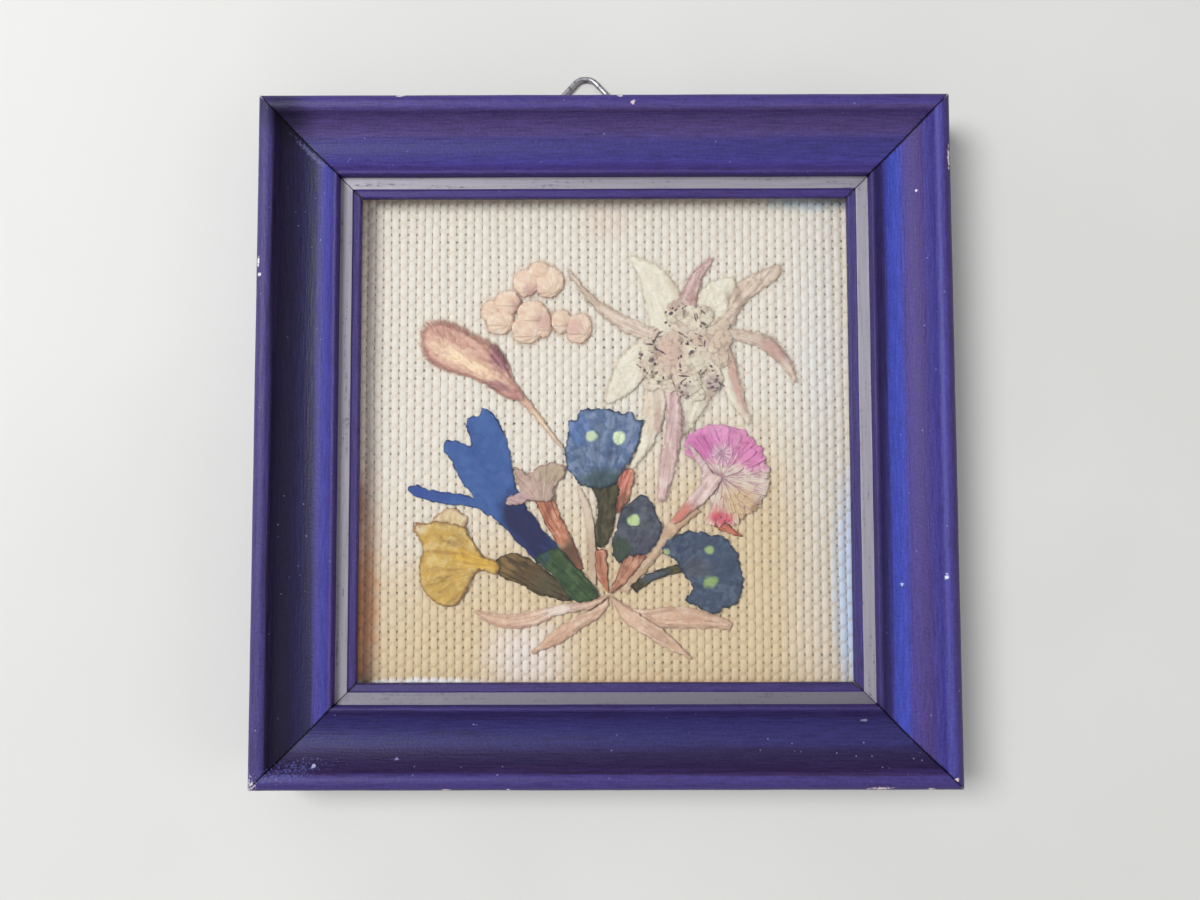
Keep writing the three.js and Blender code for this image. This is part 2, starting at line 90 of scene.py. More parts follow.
def linear(code: str) -> Colour:
    """Turns a colour as seen on a screen into the shader's linear one.

    Args:
        code: Six hexadecimal digits, red, green and blue.

    Returns:
        Red, green, blue and alpha from 0 to 1.
    """
    parts = [int(code[i:i + 2], 16) / 255 for i in (0, 2, 4)]
    red, green, blue = (p / 12.92 if p <= 0.04045 else ((p + 0.055) / 1.055) ** 2.4 for p in parts)
    return red, green, blue, 1.0


def ease(share: float) -> float:
    """Smooth step from 0 to 1 as share goes from 0 to 1."""
    share = min(max(share, 0.0), 1.0)
    return share * share * (3 - 2 * share)


# ---- Shader maths ----


class Signal:
    """A shader value that Python's operators work on."""

    def __init__(self, bench: "Bench", socket: bpy.types.NodeSocket) -> None:
        """Keeps the bench that new nodes go on, and the socket that holds the value."""
        self.bench = bench
        self.socket = socket

    def __add__(self, other: "Value") -> "Signal":
        """Sum."""
        return self.bench.maths("ADD", self, other)

    def __radd__(self, other: "Value") -> "Signal":
        """Sum, from the right."""
        return self.bench.maths("ADD", other, self)

    def __sub__(self, other: "Value") -> "Signal":
        """Difference."""
        return self.bench.maths("SUBTRACT", self, other)

    def __rsub__(self, other: "Value") -> "Signal":
        """Difference, from the right."""
        return self.bench.maths("SUBTRACT", other, self)

    def __mul__(self, other: "Value") -> "Signal":
        """Product."""
        return self.bench.maths("MULTIPLY", self, other)

    def __rmul__(self, other: "Value") -> "Signal":
        """Product, from the right."""
        return self.bench.maths("MULTIPLY", other, self)


Value = Union[Signal, float]
Feed = Union[Signal, bpy.types.NodeSocket, float, str, Sequence[float]]


class Bench:
    """A material in the making, and the nodes that go into it."""

    def __init__(self, name: str) -> None:
        """Starts an empty material, with the piece's own place at hand in millimetres.

        Args:
            name: The material's name.
        """
        self.material = bpy.data.materials.new(name)
        self.material.use_nodes = True
        self.tree = self.material.node_tree
        self.tree.nodes.clear()
        coordinates = self.node("ShaderNodeTexCoord")
        self.place = self.scaled(coordinates.outputs["Object"], 1 / MM)
        axes = self.node("ShaderNodeSeparateXYZ", sockets={0: self.place})
        self.x, self.y, self.z = (Signal(self, axes.outputs[i]) for i in range(3))

    def node(self, kind: str, settings: dict[str, object] | None = None,
             sockets: dict[str | int, Feed] | None = None) -> bpy.types.Node:
        """Adds a node.

        Args:
            kind: The node's type.
            settings: What is set on the node itself, before its sockets.
            sockets: Values or links for its inputs, by name or number.

        Returns:
            The new node.
        """
        made = self.tree.nodes.new(kind)
        for key, value in (settings or {}).items():
            setattr(made, key, value)
        for key, value in (sockets or {}).items():
            self.feed(made.inputs[key], value)
        return made

    def feed(self, socket: bpy.types.NodeSocket, value: Feed) -> None:
        """Links a value to a socket, or sets it there.

        Args:
            socket: The input to feed.
            value: A signal or a socket to link, a colour's code or a plain value.
        """
        if isinstance(value, Signal):
            value = value.socket
        if isinstance(value, str):
            value = linear(value)
        if isinstance(value, bpy.types.NodeSocket):
            self.tree.links.new(value, socket)
        else:
            socket.default_value = value

    def maths(self, operation: str, *values: Value) -> Signal:
        """One Math node on the given values."""
        made = self.node("ShaderNodeMath", {"operation": operation}, dict(enumerate(values)))
        return Signal(self, made.outputs[0])

    def scaled(self, vector: Feed, factor: Value) -> bpy.types.NodeSocket:
        """A vector or colour times a number."""
        return self.node("ShaderNodeVectorMath", {"operation": "SCALE"},
                         {"Vector": vector, "Scale": factor}).outputs["Vector"]

    def stretched(self, vector: Feed, factors: Sequence[float]) -> bpy.types.NodeSocket:
        """A vector times another, axis by axis."""
        return self.node("ShaderNodeVectorMath", {"operation": "MULTIPLY"},
                         {0: vector, 1: factors}).outputs["Vector"]

    def noise(self, vector: Feed, scale: float, detail: float = 2.0) -> Signal:
        """Smooth noise about 0.5, with scale lumps to the millimetre."""
        sockets = {"Vector": vector, "Scale": scale, "Detail": detail}
        return Signal(self, self.node("ShaderNodeTexNoise", None, sockets).outputs[0])

    def cells(self, vector: Feed, scale: float) -> Signal:
        """Distance to the nearest of many scattered points."""
        made = self.node("ShaderNodeTexVoronoi", None, {"Vector": vector, "Scale": scale})
        return Signal(self, made.outputs[0])

    def attribute(self, name: str) -> bpy.types.Node:
        """The node that reads one of the piece's own attributes."""
        return self.node("ShaderNodeAttribute", {"attribute_name": name})

    def on_side(self, side: "Side") -> Signal:
        """Masks one side of the frame: 1 on it and 0 on the others.

        Args:
            side: The side.

        Returns:
            The mask.
        """
        made = self.node("ShaderNodeVectorMath", {"operation": "DOT_PRODUCT"},
                         {0: self.attribute("outward").outputs["Vector"], 1: side.outward})
        return self.step(Signal(self, made.outputs["Value"]), 0.5, 0.6)

    def step(self, value: Value, low: float, high: float) -> Signal:
        """Makes a smooth step.

        Args:
            value: What is measured.
            low: Where the step is 0.
            high: Where it is 1, above or below low.

        Returns:
            The step.
        """
        made = self.node("ShaderNodeMapRange", {"interpolation_type": "SMOOTHSTEP"},
                         {"Value": value, "From Min": low, "From Max": high})
        return Signal(self, made.outputs[0])

    def mix(self, share: Value, first: Feed, second: Feed) -> bpy.types.NodeSocket:
        """Colour from first, at share 0, to second, at share 1."""
        made = self.node("ShaderNodeMix", {"data_type": "RGBA"}, {0: share, 6: first, 7: second})
        return made.outputs[2]

    def spot(self, patch: "Patch", ragged: Signal) -> Signal:
        """Masks a patch: 1 inside it and 0 outside.

        Args:
            patch: Where it lies, its size and how soft and ragged its edge is.
            ragged: Noise about 0.5 that frays the edge.

        Returns:
            The mask, as strong as the patch.
        """
        local = self.node("ShaderNodeMapping", {"vector_type": "TEXTURE"}, {
            "Vector": self.place,
            "Location": (patch.x, patch.y, 0.0),
            "Rotation": (0.0, 0.0, math.radians(patch.turn)),
            "Scale": (patch.width / 2, patch.height / 2, 1e6),
        })
        away = self.node("ShaderNodeVectorMath", {"operation": "LENGTH"}, {0: local.outputs[0]})
        reach = Signal(self, away.outputs["Value"]) + (ragged - 0.5) * (2 * patch.ragged)
        return self.step(reach, 1 + patch.soft, 1 - patch.soft) * patch.strength

    def stained(self, colour: Feed, patches: Sequence["Patch"], ragged: Signal) -> Feed:
        """Lays patches over a colour, one after another.

        Args:
            colour: The colour beneath.
            patches: The patches, lowest first.
            ragged: Noise about 0.5 that frays their edges.

        Returns:
            The new colour.
        """
        for patch in patches:
            colour = self.mix(self.spot(patch, ragged), colour, patch.colour)
        return colour

    def bump(self, height: Value, distance: float, strength: float = 1.0) -> bpy.types.NodeSocket:
        """Normal tilted by a height, whose full step is distance millimetres."""
        sockets = {"Height": height, "Distance": distance * MM, "Strength": strength}
        return self.node("ShaderNodeBump", None, sockets).outputs[0]

    def finish(self, shader: bpy.types.NodeSocket) -> bpy.types.Material:
        """Joins a shader to the output and gives the finished material."""
        self.node("ShaderNodeOutputMaterial", None, {"Surface": shader})
        return self.material

    def principled(self, sockets: dict[str | int, Feed]) -> bpy.types.Material:
        """Finishes the material with one Principled shader."""
        made = self.node("ShaderNodeBsdfPrincipled", None, sockets)
        return self.finish(made.outputs[0])


# ---- Finishes ----


@dataclass(frozen=True)
class Patch:
    """A stain, eye or chip: where it lies, its size in millimetres and its colour."""

    x: float
    y: float
    width: float
    height: float
    colour: str
    turn: float = 0.0
    soft: float = 0.35
    ragged: float = 0.25
    strength: float = 1.0


class Side(Enum):
    """The frame's four sides, by how far round each lies from the top, in degrees."""

    TOP = 0
    LEFT = 90
    BOTTOM = 180
    RIGHT = 270

    @property
    def outward(self) -> Vector:
        """The direction out of the frame on this side."""
        return Matrix.Rotation(math.radians(self.value), 3, "Z") @ Vector((0.0, 1.0, 0.0))


@dataclass(frozen=True)
class ShadeBand:
    """A painted shade or highlight along one side of the frame, between two distances in from the
    outer edge.
    """

    side: Side
    start: float
    end: float
    colour: str
    strength: float


@dataclass(frozen=True)
class Paint:
    """Violet paint on the moulding, chipped along its arrises, with painted shade and highlights:
    maroon inside the ridge, per side, and dark in the top-left corner.
    """

    violet: str = "443C84"
    purple: str = "42306A"
    maroon: str = "3B2444"
    shadow: str = "0C0812"
    dust: str = "9C9CC4"
    bare: str = "D8C4C6"
    blend: float = 0.7
    # Painted shade and highlights, side by side: dark where a face turns from the light or mirrors
    # dark, bright where it faces the light.
    side_shading: tuple[ShadeBand, ...] = (
        ShadeBand(Side.TOP, 2.0, 6.6, "56467E", 0.7),
        ShadeBand(Side.TOP, 6.6, 10.2, "34306C", 0.6),
        ShadeBand(Side.LEFT, 3.0, 9.6, "16122E", 0.85),
        ShadeBand(Side.LEFT, 10.6, 12.8, "44489C", 0.5),
        ShadeBand(Side.LEFT, -1.0, 2.6, "463C6A", 0.6),
        ShadeBand(Side.LEFT, 15.6, 18.0, "44386A", 0.5),
        ShadeBand(Side.BOTTOM, 3.4, 13.2, "1C183E", 0.6),
        ShadeBand(Side.BOTTOM, -1.0, 3.0, "403268", 0.5),
        ShadeBand(Side.BOTTOM, 15.6, 18.0, "3A305C", 0.6),
        ShadeBand(Side.RIGHT, -1.0, 1.8, "3C2858", 0.55),
        ShadeBand(Side.RIGHT, 1.8, 4.6, "4A489C", 0.6),
        ShadeBand(Side.RIGHT, 4.6, 7.6, "4C3A84", 0.65),
        ShadeBand(Side.RIGHT, 7.6, 10.6, "4250B8", 0.7),
        ShadeBand(Side.RIGHT, 10.8, 13.4, "1E1B3C", 0.5),
        ShadeBand(Side.RIGHT, 15.6, 18.0, "3C3564", 0.6),
    )
    # Painted shade in the top-left corner.
    corner: Patch = Patch(-55.6, 56.4, 8.0, 7.0, "120C1C", -45, 0.8, 0.3, 0.75)
    chips: tuple[Patch, ...] = (
        Patch(-51.7, 50.1, 6.6, 0.8, "625E8C", -45, 0.5, 0.3, 0.7),
        Patch(-35.2, 59.0, 1.5, 0.5, "E2CDCB"),
        Patch(2.8, 58.9, 0.9, 0.5, "E2CDCB"),
        Patch(5.0, 57.6, 0.7, 0.8, "D9BFC4"),
        Patch(-59.3, 30.0, 0.5, 1.6, "E4DCE6"),
        Patch(-59.0, 27.7, 0.7, 0.6, "E4DCE6"),
        Patch(59.3, 47.8, 0.5, 4.0, "D8C9D0"),
        Patch(54.7, 43.0, 0.45, 0.5, "E6E6F0"),
        Patch(42.8, 30.4, 0.3, 1.0, "E6E6F0"),
        Patch(-59.1, -58.2, 1.2, 2.4, "CFC0CC", 0, 0.5, 0.6),
        Patch(-49.2, -55.6, 0.7, 0.5, "C8CCEC"),
        Patch(-53.2, -56.2, 7.0, 1.4, "666CAC", 5, 0.7, 0.9, 0.5),
        Patch(42.7, -37.0, 0.4, 0.6, "E6E6F0"),
        Patch(-35.5, -54.7, 0.9, 0.35, "8E8CB4", 0, 0.4, 0.4, 0.8),
        Patch(-26.7, -59.1, 1.6, 0.4, "D0B8BC"),
        Patch(-22.4, -49.3, 0.6, 0.3, "8C9AD0", -20, 0.4, 0.4, 0.8),
        Patch(-16.3, -59.1, 0.6, 0.4, "E6E2F0"),
        Patch(44.2, -48.6, 1.2, 0.5, "8E8A9C"),
        Patch(45.8, -58.9, 3.6, 0.5, "D8C4C0"),
        Patch(54.3, -59.1, 1.2, 0.5, "D8C4C0"),
        Patch(58.3, -57.4, 0.7, 0.6, "D8C4C0"),
        Patch(57.4, -24.0, 0.5, 1.1, "DDE4F4", -12),
        Patch(51.2, -25.6, 0.7, 0.5, "C8D4F0"),
    )

    def tones(self, bench: Bench, inward: Signal, drift: Signal) -> bpy.types.NodeSocket:
        """Colours the ridge and the bead, with painted shade in maroon below the ridge.

        Args:
            bench: The material in the making.
            inward: Distance in from the outer edge.
            drift: The same distance, wavy along the brush strokes.

        Returns:
            The colour.
        """
        ridge = bench.step(inward, 2.8, 1.2)
        bead = bench.step(drift, 10.4, 12.6)
        colour = bench.mix(ridge * 0.55 + bead * 0.7, self.violet, self.purple)
        # Painted shade in maroon below the ridge.
        hollow_shade = bench.step(drift, 2.2, 3.2) * bench.step(drift, 7.2, 5.2)
        return bench.mix(hollow_shade * 0.85, colour, self.maroon)

    def paint_side_shading(self, bench: Bench, drift: Signal,
               colour: bpy.types.NodeSocket) -> bpy.types.NodeSocket:
        """Lays each side's painted shade and highlights over the paint.

        Args:
            bench: The material in the making.
            drift: Distance in from the outer edge, wavy along the brush strokes.
            colour: The paint's colour so far.

        Returns:
            The new colour.
        """
        for band in self.side_shading:
            share = bench.on_side(band.side) * band.strength
            share = share * bench.step(drift, band.start - self.blend, band.start + self.blend)
            share = share * bench.step(drift, band.end + self.blend, band.end - self.blend)
            colour = bench.mix(share, colour, band.colour)
        return colour

    def material(self) -> bpy.types.Material:
        """Mixes painted shade and highlights across the moulding, brush streaks, dust, chips and
        open mitres.

        Returns:
            The finished material.
        """
        bench = Bench("paint")
        inward = Signal(bench, bench.attribute("inward").outputs["Fac"])
        mitre = Signal(bench, bench.attribute("mitre").outputs["Fac"])
        run = bench.attribute("run").outputs["Vector"]
        brush = bench.noise(bench.stretched(run, (0.03, 1.6, 1.0)), 1.0, 3)
        fine = bench.noise(bench.stretched(run, (0.25, 3.0, 3.0)), 1.0, 5)
        cloud = bench.noise(bench.place, 0.14, 4)
        grain = bench.noise(bench.place, 2.4, 4)
        drift = inward + (brush - 0.5) * 1.8
        streak = bench.step(brush * 0.6 + cloud * 0.4, 0.5, 0.68)
        colour = bench.mix(streak * 0.45, self.tones(bench, inward, drift), self.maroon)
        # Painted shade and highlights along each side.
        colour = self.paint_side_shading(bench, drift, colour)
        # Painted shade in the top-left corner, then the seams of the open mitres.
        colour = bench.stained(colour, [self.corner], brush)
        seam = bench.step(mitre + (grain - 0.5) * 0.5, 0.34, 0.1) * bench.step(inward, -4.0, 5.0)
        colour = bench.mix(seam * 0.7, colour, self.shadow)
        colour = bench.scaled(colour, 0.1 + fine * 1.0 + grain * 0.8)
        thick = bench.step(bench.noise(bench.place, 0.12, 2), 0.5, 0.62)
        dust = bench.step(bench.cells(bench.place, 0.55), 0.10, 0.05) * thick
        colour = bench.mix(dust * 0.55, colour, self.dust)
        ragged = bench.noise(bench.place, 2.6, 4)
        nibble = bench.noise(bench.place, 0.35, 3)
        arris = bench.step(inward, 0.5, 0.1) * bench.step(bench.z, 12.9, 13.3)
        worn = arris * bench.step(ragged * 0.5 + nibble * 0.5, 0.55, 0.6)
        colour = bench.mix(worn * 0.8, colour, self.bare)
        colour = bench.stained(colour, self.chips, ragged * 6 - 2.2)
        return bench.principled({
            "Base Color": colour,
            "Roughness": 0.5 + (fine - 0.5) * 0.4 + worn * 0.3,
            "Specular IOR Level": 0.26,
            "Normal": bench.bump(fine * 0.7 + grain * 0.5 - worn, 0.12, 0.9),
        })


@dataclass(frozen=True)
class Gilt:
    """Dull silver-bronze line beside the window, rubbed dark in places."""

    metal: str = "9C969D"
    grey: str = "8F8892"
    dark: str = "57505E"
    dull: str = "6E6872"

    def material(self) -> bpy.types.Material:
        """Mixes metallic paint, long scratches and dark flecks, dull along the bottom.

        Returns:
            The finished material.
        """
        bench = Bench("gilt")
        run = bench.attribute("run").outputs["Vector"]
        long = bench.noise(bench.stretched(run, (0.12, 2.6, 1.0)), 1.0, 4)
        fleck = bench.noise(bench.place, 1.5, 4)
        rubbed = bench.step(long * 0.55 + fleck * 0.45, 0.55, 0.68)
        colour = bench.mix(bench.step(long, 0.35, 0.6) * 0.5, self.metal, self.grey)
        colour = bench.mix(bench.on_side(Side.BOTTOM) * 0.9, colour, self.dull)
        colour = bench.mix(rubbed * 0.75, colour, self.dark)
        return bench.principled({
            "Base Color": colour,
            "Metallic": 0.25 * (1 - rubbed),
            "Roughness": 0.42 + fleck * 0.2,
            "Normal": bench.bump(long + fleck * 0.5, 0.05, 0.6),
        })


@dataclass(frozen=True)
class Timber:
    """Wood or board: two tones, how fine the grain is, and which attribute it runs along."""

    name: str
    light: str
    dark: str
    across: float = 1.4
    along: float = 0.05
    fibre: float = 5.0
    roughness: float = 0.8
    run: str = ""

    def material(self) -> bpy.types.Material:
        """Mixes long grain, pores and a slow change of tone.

        Returns:
            The finished material.
        """
        bench = Bench(self.name)
        place = bench.attribute(self.run).outputs["Vector"] if self.run else bench.place
        grain = bench.noise(bench.stretched(place, (self.along, self.across, self.across)), 1.0, 5)
        pore = bench.noise(bench.stretched(place, (0.6, self.fibre, self.fibre)), 1.0, 3)
        tone = bench.noise(bench.place, 0.03, 2)
        colour = bench.mix(bench.step(grain, 0.35, 0.68), self.light, self.dark)
        colour = bench.scaled(colour, 0.72 + pore * 0.28 + tone * 0.3)
        return bench.principled({
            "Base Color": colour,
            "Roughness": self.roughness - 0.1 + pore * 0.2,
            "Normal": bench.bump(pore * 0.7 + grain * 0.3, 0.08, 0.6),
        })


@dataclass(frozen=True)
class Linen:
    """Cream linen yarn, yellower low down, foxed along the left edge, with painted reflection,
    glints and shade.
    """

    name: str
    along: Point
    cream: str = "E2D9CA"
    yellow: str = "D8C19B"
    # Painted shade colour for the gaps between the yarns.
    gap: str = "B3946F"
    foxing_and_lit_strip: tuple[Patch, ...] = (
        Patch(-43.6, -22.0, 5.6, 46.0, "E6B08A", 0, 0.6, 0.55, 0.7),
        # Painted light along the left edge, lifting the rail's shadow there.
        Patch(-43.8, 12.0, 4.6, 60.0, "FFF0E6", 0, 0.7, 0.6, 0.85),
        Patch(-43.4, -12.0, 2.0, 9.0, "B47456", 0, 0.6, 0.6, 0.6),
        Patch(-42.8, -31.0, 4.4, 24.0, "E0935C", 0, 0.7, 0.7, 0.8),
        Patch(0.5, 39.0, 7.0, 6.0, "DCC6B6", 0, 0.6, 0.5, 0.5),
    )
    # Painted glints of light along the top right, right and bottom edges, and painted haze from the
    # glass low on the left and right.
    bright: tuple[Patch, ...] = (
        Patch(37.0, 43.4, 14.0, 4.0, "C6DDEA", 0, 0.5, 0.3, 0.8),
        Patch(43.6, -26.0, 5.6, 36.0, "B2D0F6", 0, 0.6, 0.3, 0.95),
        Patch(-32.4, -43.5, 22.0, 2.2, "F6FAFF", 0, 0.5, 0.6, 1.0),
        Patch(-13.8, -38.8, 13.0, 12.0, "ECE4E6", -35, 0.8, 0.3, 0.6),
        Patch(39.0, -6.0, 12.0, 80.0, "DEDDDA", 0, 0.8, 0.3, 0.5),
    )

    def material(self) -> bpy.types.Material:
        """Mixes fibres along the yarn, slubs, painted shade in the gaps, and the cloth's slow
        change of tone, whose whiter top is painted reflection.

        Returns:
            The finished material.
        """
        bench = Bench(self.name)
        soft = bench.noise(bench.place, 0.09, 2)
        # Whiter towards the top as painted reflection from the glass, yellower lower down.
        lower = bench.step(bench.y * -0.82 + bench.x * 0.20 + (soft - 0.5) * 16.0, -4.0, 22.0)
        corner = bench.step(bench.y * -0.5 + bench.x * -0.86, -50.0, -20.0)
        colour = bench.mix(lower * (0.35 + corner * 0.65), self.cream, self.yellow)
        run, turn = self.along
        fibre = bench.noise(bench.stretched(bench.place, (7 - run, 7 - turn, 4.0)), 1.0, 4)
        slub = bench.noise(bench.stretched(bench.place, (0.75 - run * 0.1, 0.75 - turn * 0.1, 0.0)),
                           1.0, 1)
        ragged = bench.noise(bench.place, 0.45, 3)
        # Foxing stains, painted light along the left edge, then painted glints and haze.
        colour = bench.stained(colour, self.foxing_and_lit_strip + self.bright, ragged)
        # Painted shade in the low places between the yarns, stronger lower down.
        low = bench.step(bench.z, LINEN_TOP - 0.09, LINEN_TOP - 0.40)
        colour = bench.mix(low * (0.5 + lower * 0.28), colour, self.gap)
        colour = bench.scaled(colour, 0.82 + fibre * 0.26 + slub * 0.16)
        return bench.principled({
            "Base Color": colour,
            "Roughness": 0.9,
            "Specular IOR Level": 0.2,
            "Normal": bench.bump(fibre, 0.08, 0.8),
        })


@dataclass(frozen=True)
class Petal:
    """Dry petal, leaf or stem: its colours, streaks along the veins, rim, patches and eyes."""

    ground: str
    streak: str
    pale: str
    rim: str
    rim_width: float = 0.35
    streaks: float = 0.6
    fineness: float = 2.4
    mottle: float = 0.4
    roughness: float = 0.8
    patches: tuple[Patch, ...] = ()
    marks: tuple[Patch, ...] = ()
    edge: float = 0.85

    def material(self, name: str) -> bpy.types.Material:
        """Streaked and mottled, with a darker rim and a papery grain.

        Args:
            name: The material's name.

        Returns:
            The finished material.
        """
        bench = Bench(name)
        veins = bench.attribute("veins").outputs["Vector"]
        rim = Signal(bench, bench.attribute("rim").outputs["Fac"])
        fine = bench.noise(bench.stretched(veins, (self.fineness, self.fineness * 0.12, 1.0)),
                           1.0, 4)
        broad = bench.noise(bench.stretched(veins, (0.7, 0.18, 1.0)), 1.0, 3)
        cloud = bench.noise(bench.place, 0.7, 4)
        grain = bench.noise(bench.place, 5.0, 3)
        blotch = bench.step(cloud * 0.6 + broad * 0.4, 0.45, 0.57)
        colour = bench.mix(blotch * self.mottle, self.ground, self.pale)
        colour = bench.stained(colour, self.patches, cloud * 0.6 + fine * 0.4)
        lines = bench.step(fine * 0.6 + broad * 0.4, 0.47, 0.6)
        colour = bench.mix(lines * self.streaks, colour, self.streak)
        colour = bench.stained(colour, self.marks, cloud)
        crack = bench.step(bench.maths("ABSOLUTE", broad - 0.52), 0.022, 0.004)
        edge = bench.step(rim + (cloud - 0.5) * 0.9, self.rim_width, 0.0)
        crack = crack * bench.step(fine, 0.42, 0.55) * (self.streaks * 0.8)
        edge = bench.maths("MAXIMUM", edge * self.edge, crack)
        colour = bench.mix(edge, colour, self.rim)
        colour = bench.scaled(colour, 0.80 + grain * 0.4)
        return bench.principled({
            "Base Color": colour,
            "Roughness": self.roughness,
            "Specular IOR Level": 0.12,
            "Normal": bench.bump(fine * 0.5 + broad * 0.6 + cloud * 0.6 + grain * 0.15, 0.3, 0.9),
        })


@dataclass(frozen=True)
class Plain:
    """Small matt parts such as hairs and specks: two tones and how lumpy they mix."""

    name: str
    tone: str
    other: str
    scale: float = 1.2
    roughness: float = 0.85

    def material(self) -> bpy.types.Material:
        """Mixes the two tones in soft lumps, with a fine grain.

        Returns:
            The finished material.
        """
        bench = Bench(self.name)
        lump = bench.noise(bench.place, self.scale, 3)
        grain = bench.noise(bench.place, 9.0, 2)
        colour = bench.mix(bench.step(lump, 0.4, 0.62), self.tone, self.other)
        colour = bench.scaled(colour, 0.85 + grain * 0.3)
        return bench.principled({
            "Base Color": colour,
            "Roughness": self.roughness,
            "Specular IOR Level": 0.2,
            "Normal": bench.bump(grain, 0.04, 0.5),
        })


@dataclass(frozen=True)
class Steel:
    """Dull plated wire and strip with grey tarnish."""

    bright: str = "B9B4B6"
    tarnish: str = "4E4950"

    def material(self) -> bpy.types.Material:
        """Mixes metal with dark tarnish in soft blotches and fine scratches.

        Returns:
            The finished material.
        """
        bench = Bench("steel")
        blotch = bench.noise(bench.place, 0.9, 4)
        scratch = bench.noise(bench.stretched(bench.place, (2.0, 9.0, 9.0)), 1.0, 3)
        dull = bench.step(blotch, 0.5, 0.66)
        colour = bench.mix(dull * 0.75, self.bright, self.tarnish)
        return bench.principled({
            "Base Color": colour,
            "Metallic": 1.0 - dull * 0.5,
            "Roughness": 0.34 + scratch * 0.2 + dull * 0.2,
            "Normal": bench.bump(scratch + blotch, 0.02, 0.5),
        })


@dataclass(frozen=True)
class Glass:
    """Clear window glass that lets light through to the flowers."""

    index: float = 1.5

    def material(self) -> bpy.types.Material:
        """Makes clear glass, which is plainly transparent to rays that only carry light.

        Returns:
            The finished material.
        """
        bench = Bench("glass")
        glass = bench.node("ShaderNodeBsdfPrincipled", None, {
            "Base Color": (1.0, 1.0, 1.0, 1.0), "Roughness": 0.0, "IOR": self.index,
            "Transmission Weight": 1.0,
        })
        clear = bench.node("ShaderNodeBsdfTransparent")
        rays = bench.node("ShaderNodeLightPath")
        soft = bench.node("ShaderNodeMixShader", None, {
            0: rays.outputs["Is Diffuse Ray"], 1: glass.outputs[0], 2: clear.outputs[0],
        })
        whole = bench.node("ShaderNodeMixShader", None, {
            0: rays.outputs["Is Shadow Ray"], 1: soft.outputs[0], 2: clear.outputs[0],
        })
        return bench.finish(whole.outputs[0])


# ---- Shapes ----


@dataclass(frozen=True)
class Label:
    """What a finished piece is called, what it stands for and what it rides on."""

    name: str
    slot: str
    replaced: tuple[str, ...] = ()
    body: Body = Body.FRAME


def hand_over(shape: bmesh.types.BMesh, label: Label, finishes: Sequence[bpy.types.Material],
              crease: float = 50.0) -> bpy.types.Object:
    """Turns a shape in millimetres into a piece of the model.

    Args:
        shape: The closed mesh, which is freed.
        label: Its name, slot, replaced nodes and body.
        finishes: Materials, in the order of the faces' material numbers.
        crease: Angle in degrees above which an edge stays sharp.

    Returns:
        The new object.
    """
    bmesh.ops.scale(shape, vec=(MM, MM, MM), verts=shape.verts)
    mesh = bpy.data.meshes.new(label.name)
    shape.to_mesh(mesh)
    shape.free()
    mesh.polygons.foreach_set("use_smooth", [True] * len(mesh.polygons))
    mesh.set_sharp_from_angle(angle=math.radians(crease))
    for finish in finishes:
        mesh.materials.append(finish)
    piece = bpy.data.objects.new(label.name, mesh)
    bpy.context.scene.collection.objects.link(piece)
    if label.replaced:
        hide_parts(*label.replaced)
    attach(piece, label.body.value)
    mesh.calc_loop_triangles()
    log.info("%s: %d triangles", label.name, len(mesh.loop_triangles))
    return piece


def copy_of(node: str) -> bmesh.types.BMesh:
    """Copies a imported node's mesh, merged and in millimetres.

    Args:
        node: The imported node's name.

    Returns:
        The copy.
    """
    shape = bmesh.new()
    shape.from_mesh(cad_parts[node].data)
    bmesh.ops.remove_doubles(shape, verts=shape.verts, dist=1e-6)
    bmesh.ops.scale(shape, vec=(1 / MM,) * 3, verts=shape.verts)
    return shape


def cut_across(shape: bmesh.types.BMesh, axis: int, pitch: float) -> None:
    """Cuts a shape by parallel planes, so that it has vertices to move.

    Args:
        shape: The mesh to cut.
        axis: 0 for planes across X, 1 for planes across Y.
        pitch: Distance between planes.
    """
    places = [vert.co[axis] for vert in shape.verts]
    low, high = min(places), max(places)
    normal = Vector((0.0, 0.0, 0.0))
    normal[axis] = 1.0
    count = max(1, round((high - low) / pitch))
    for i in range(1, count):
        everything = [*shape.verts, *shape.edges, *shape.faces]
        bmesh.ops.bisect_plane(shape, geom=everything, dist=1e-5,
                               plane_co=normal * (low + (high - low) * i / count),
                               plane_no=normal)


def swept_wire(path: Sequence[Vector], radius: float, sides: int) -> bmesh.types.BMesh:
    """A round wire of constant thickness along a path.

    Args:
        path: Points along its middle.
        radius: The wire's radius.
        sides: Corners of its section.

    Returns:
        The closed mesh.
    """
    shape = bmesh.new()
    start = Matrix.Translation(path[0]) @ facing(path[1] - path[0])
    bmesh.ops.create_circle(shape, cap_ends=True, radius=radius, segments=sides, matrix=start)
    end = shape.faces[:]
    before = start
    for i in range(1, len(path)):
        ahead = path[min(i + 1, len(path) - 1)] - path[i - 1]
        here = Matrix.Translation(path[i]) @ facing(ahead)
        grown = bmesh.ops.extrude_face_region(shape, geom=end)
        verts = [part for part in grown["geom"] if isinstance(part, bmesh.types.BMVert)]
        if i > 1:
            bmesh.ops.delete(shape, geom=end, context="FACES_ONLY")
        end = [part for part in grown["geom"] if isinstance(part, bmesh.types.BMFace)]
        bmesh.ops.transform(shape, matrix=here @ before.inverted(), verts=verts)
        before = here
    bmesh.ops.recalc_face_normals(shape, faces=shape.faces)
    return shape


def facing(direction: Vector) -> Matrix:
    """Finds the turn that takes Z to a direction and keeps a section's first corner level.

    Args:
        direction: Where Z is to point.

    Returns:
        The turn, as a 4 by 4 matrix.
    """
    ahead = direction.normalized()
    side = Vector((0.0, 0.0, 1.0)) if abs(ahead.z) < 0.9 else Vector((0.0, 1.0, 0.0))
    across = side.cross(ahead).normalized()
    return Matrix((across, ahead.cross(across), ahead)).transposed().to_4x4()


# ---- Frame ----


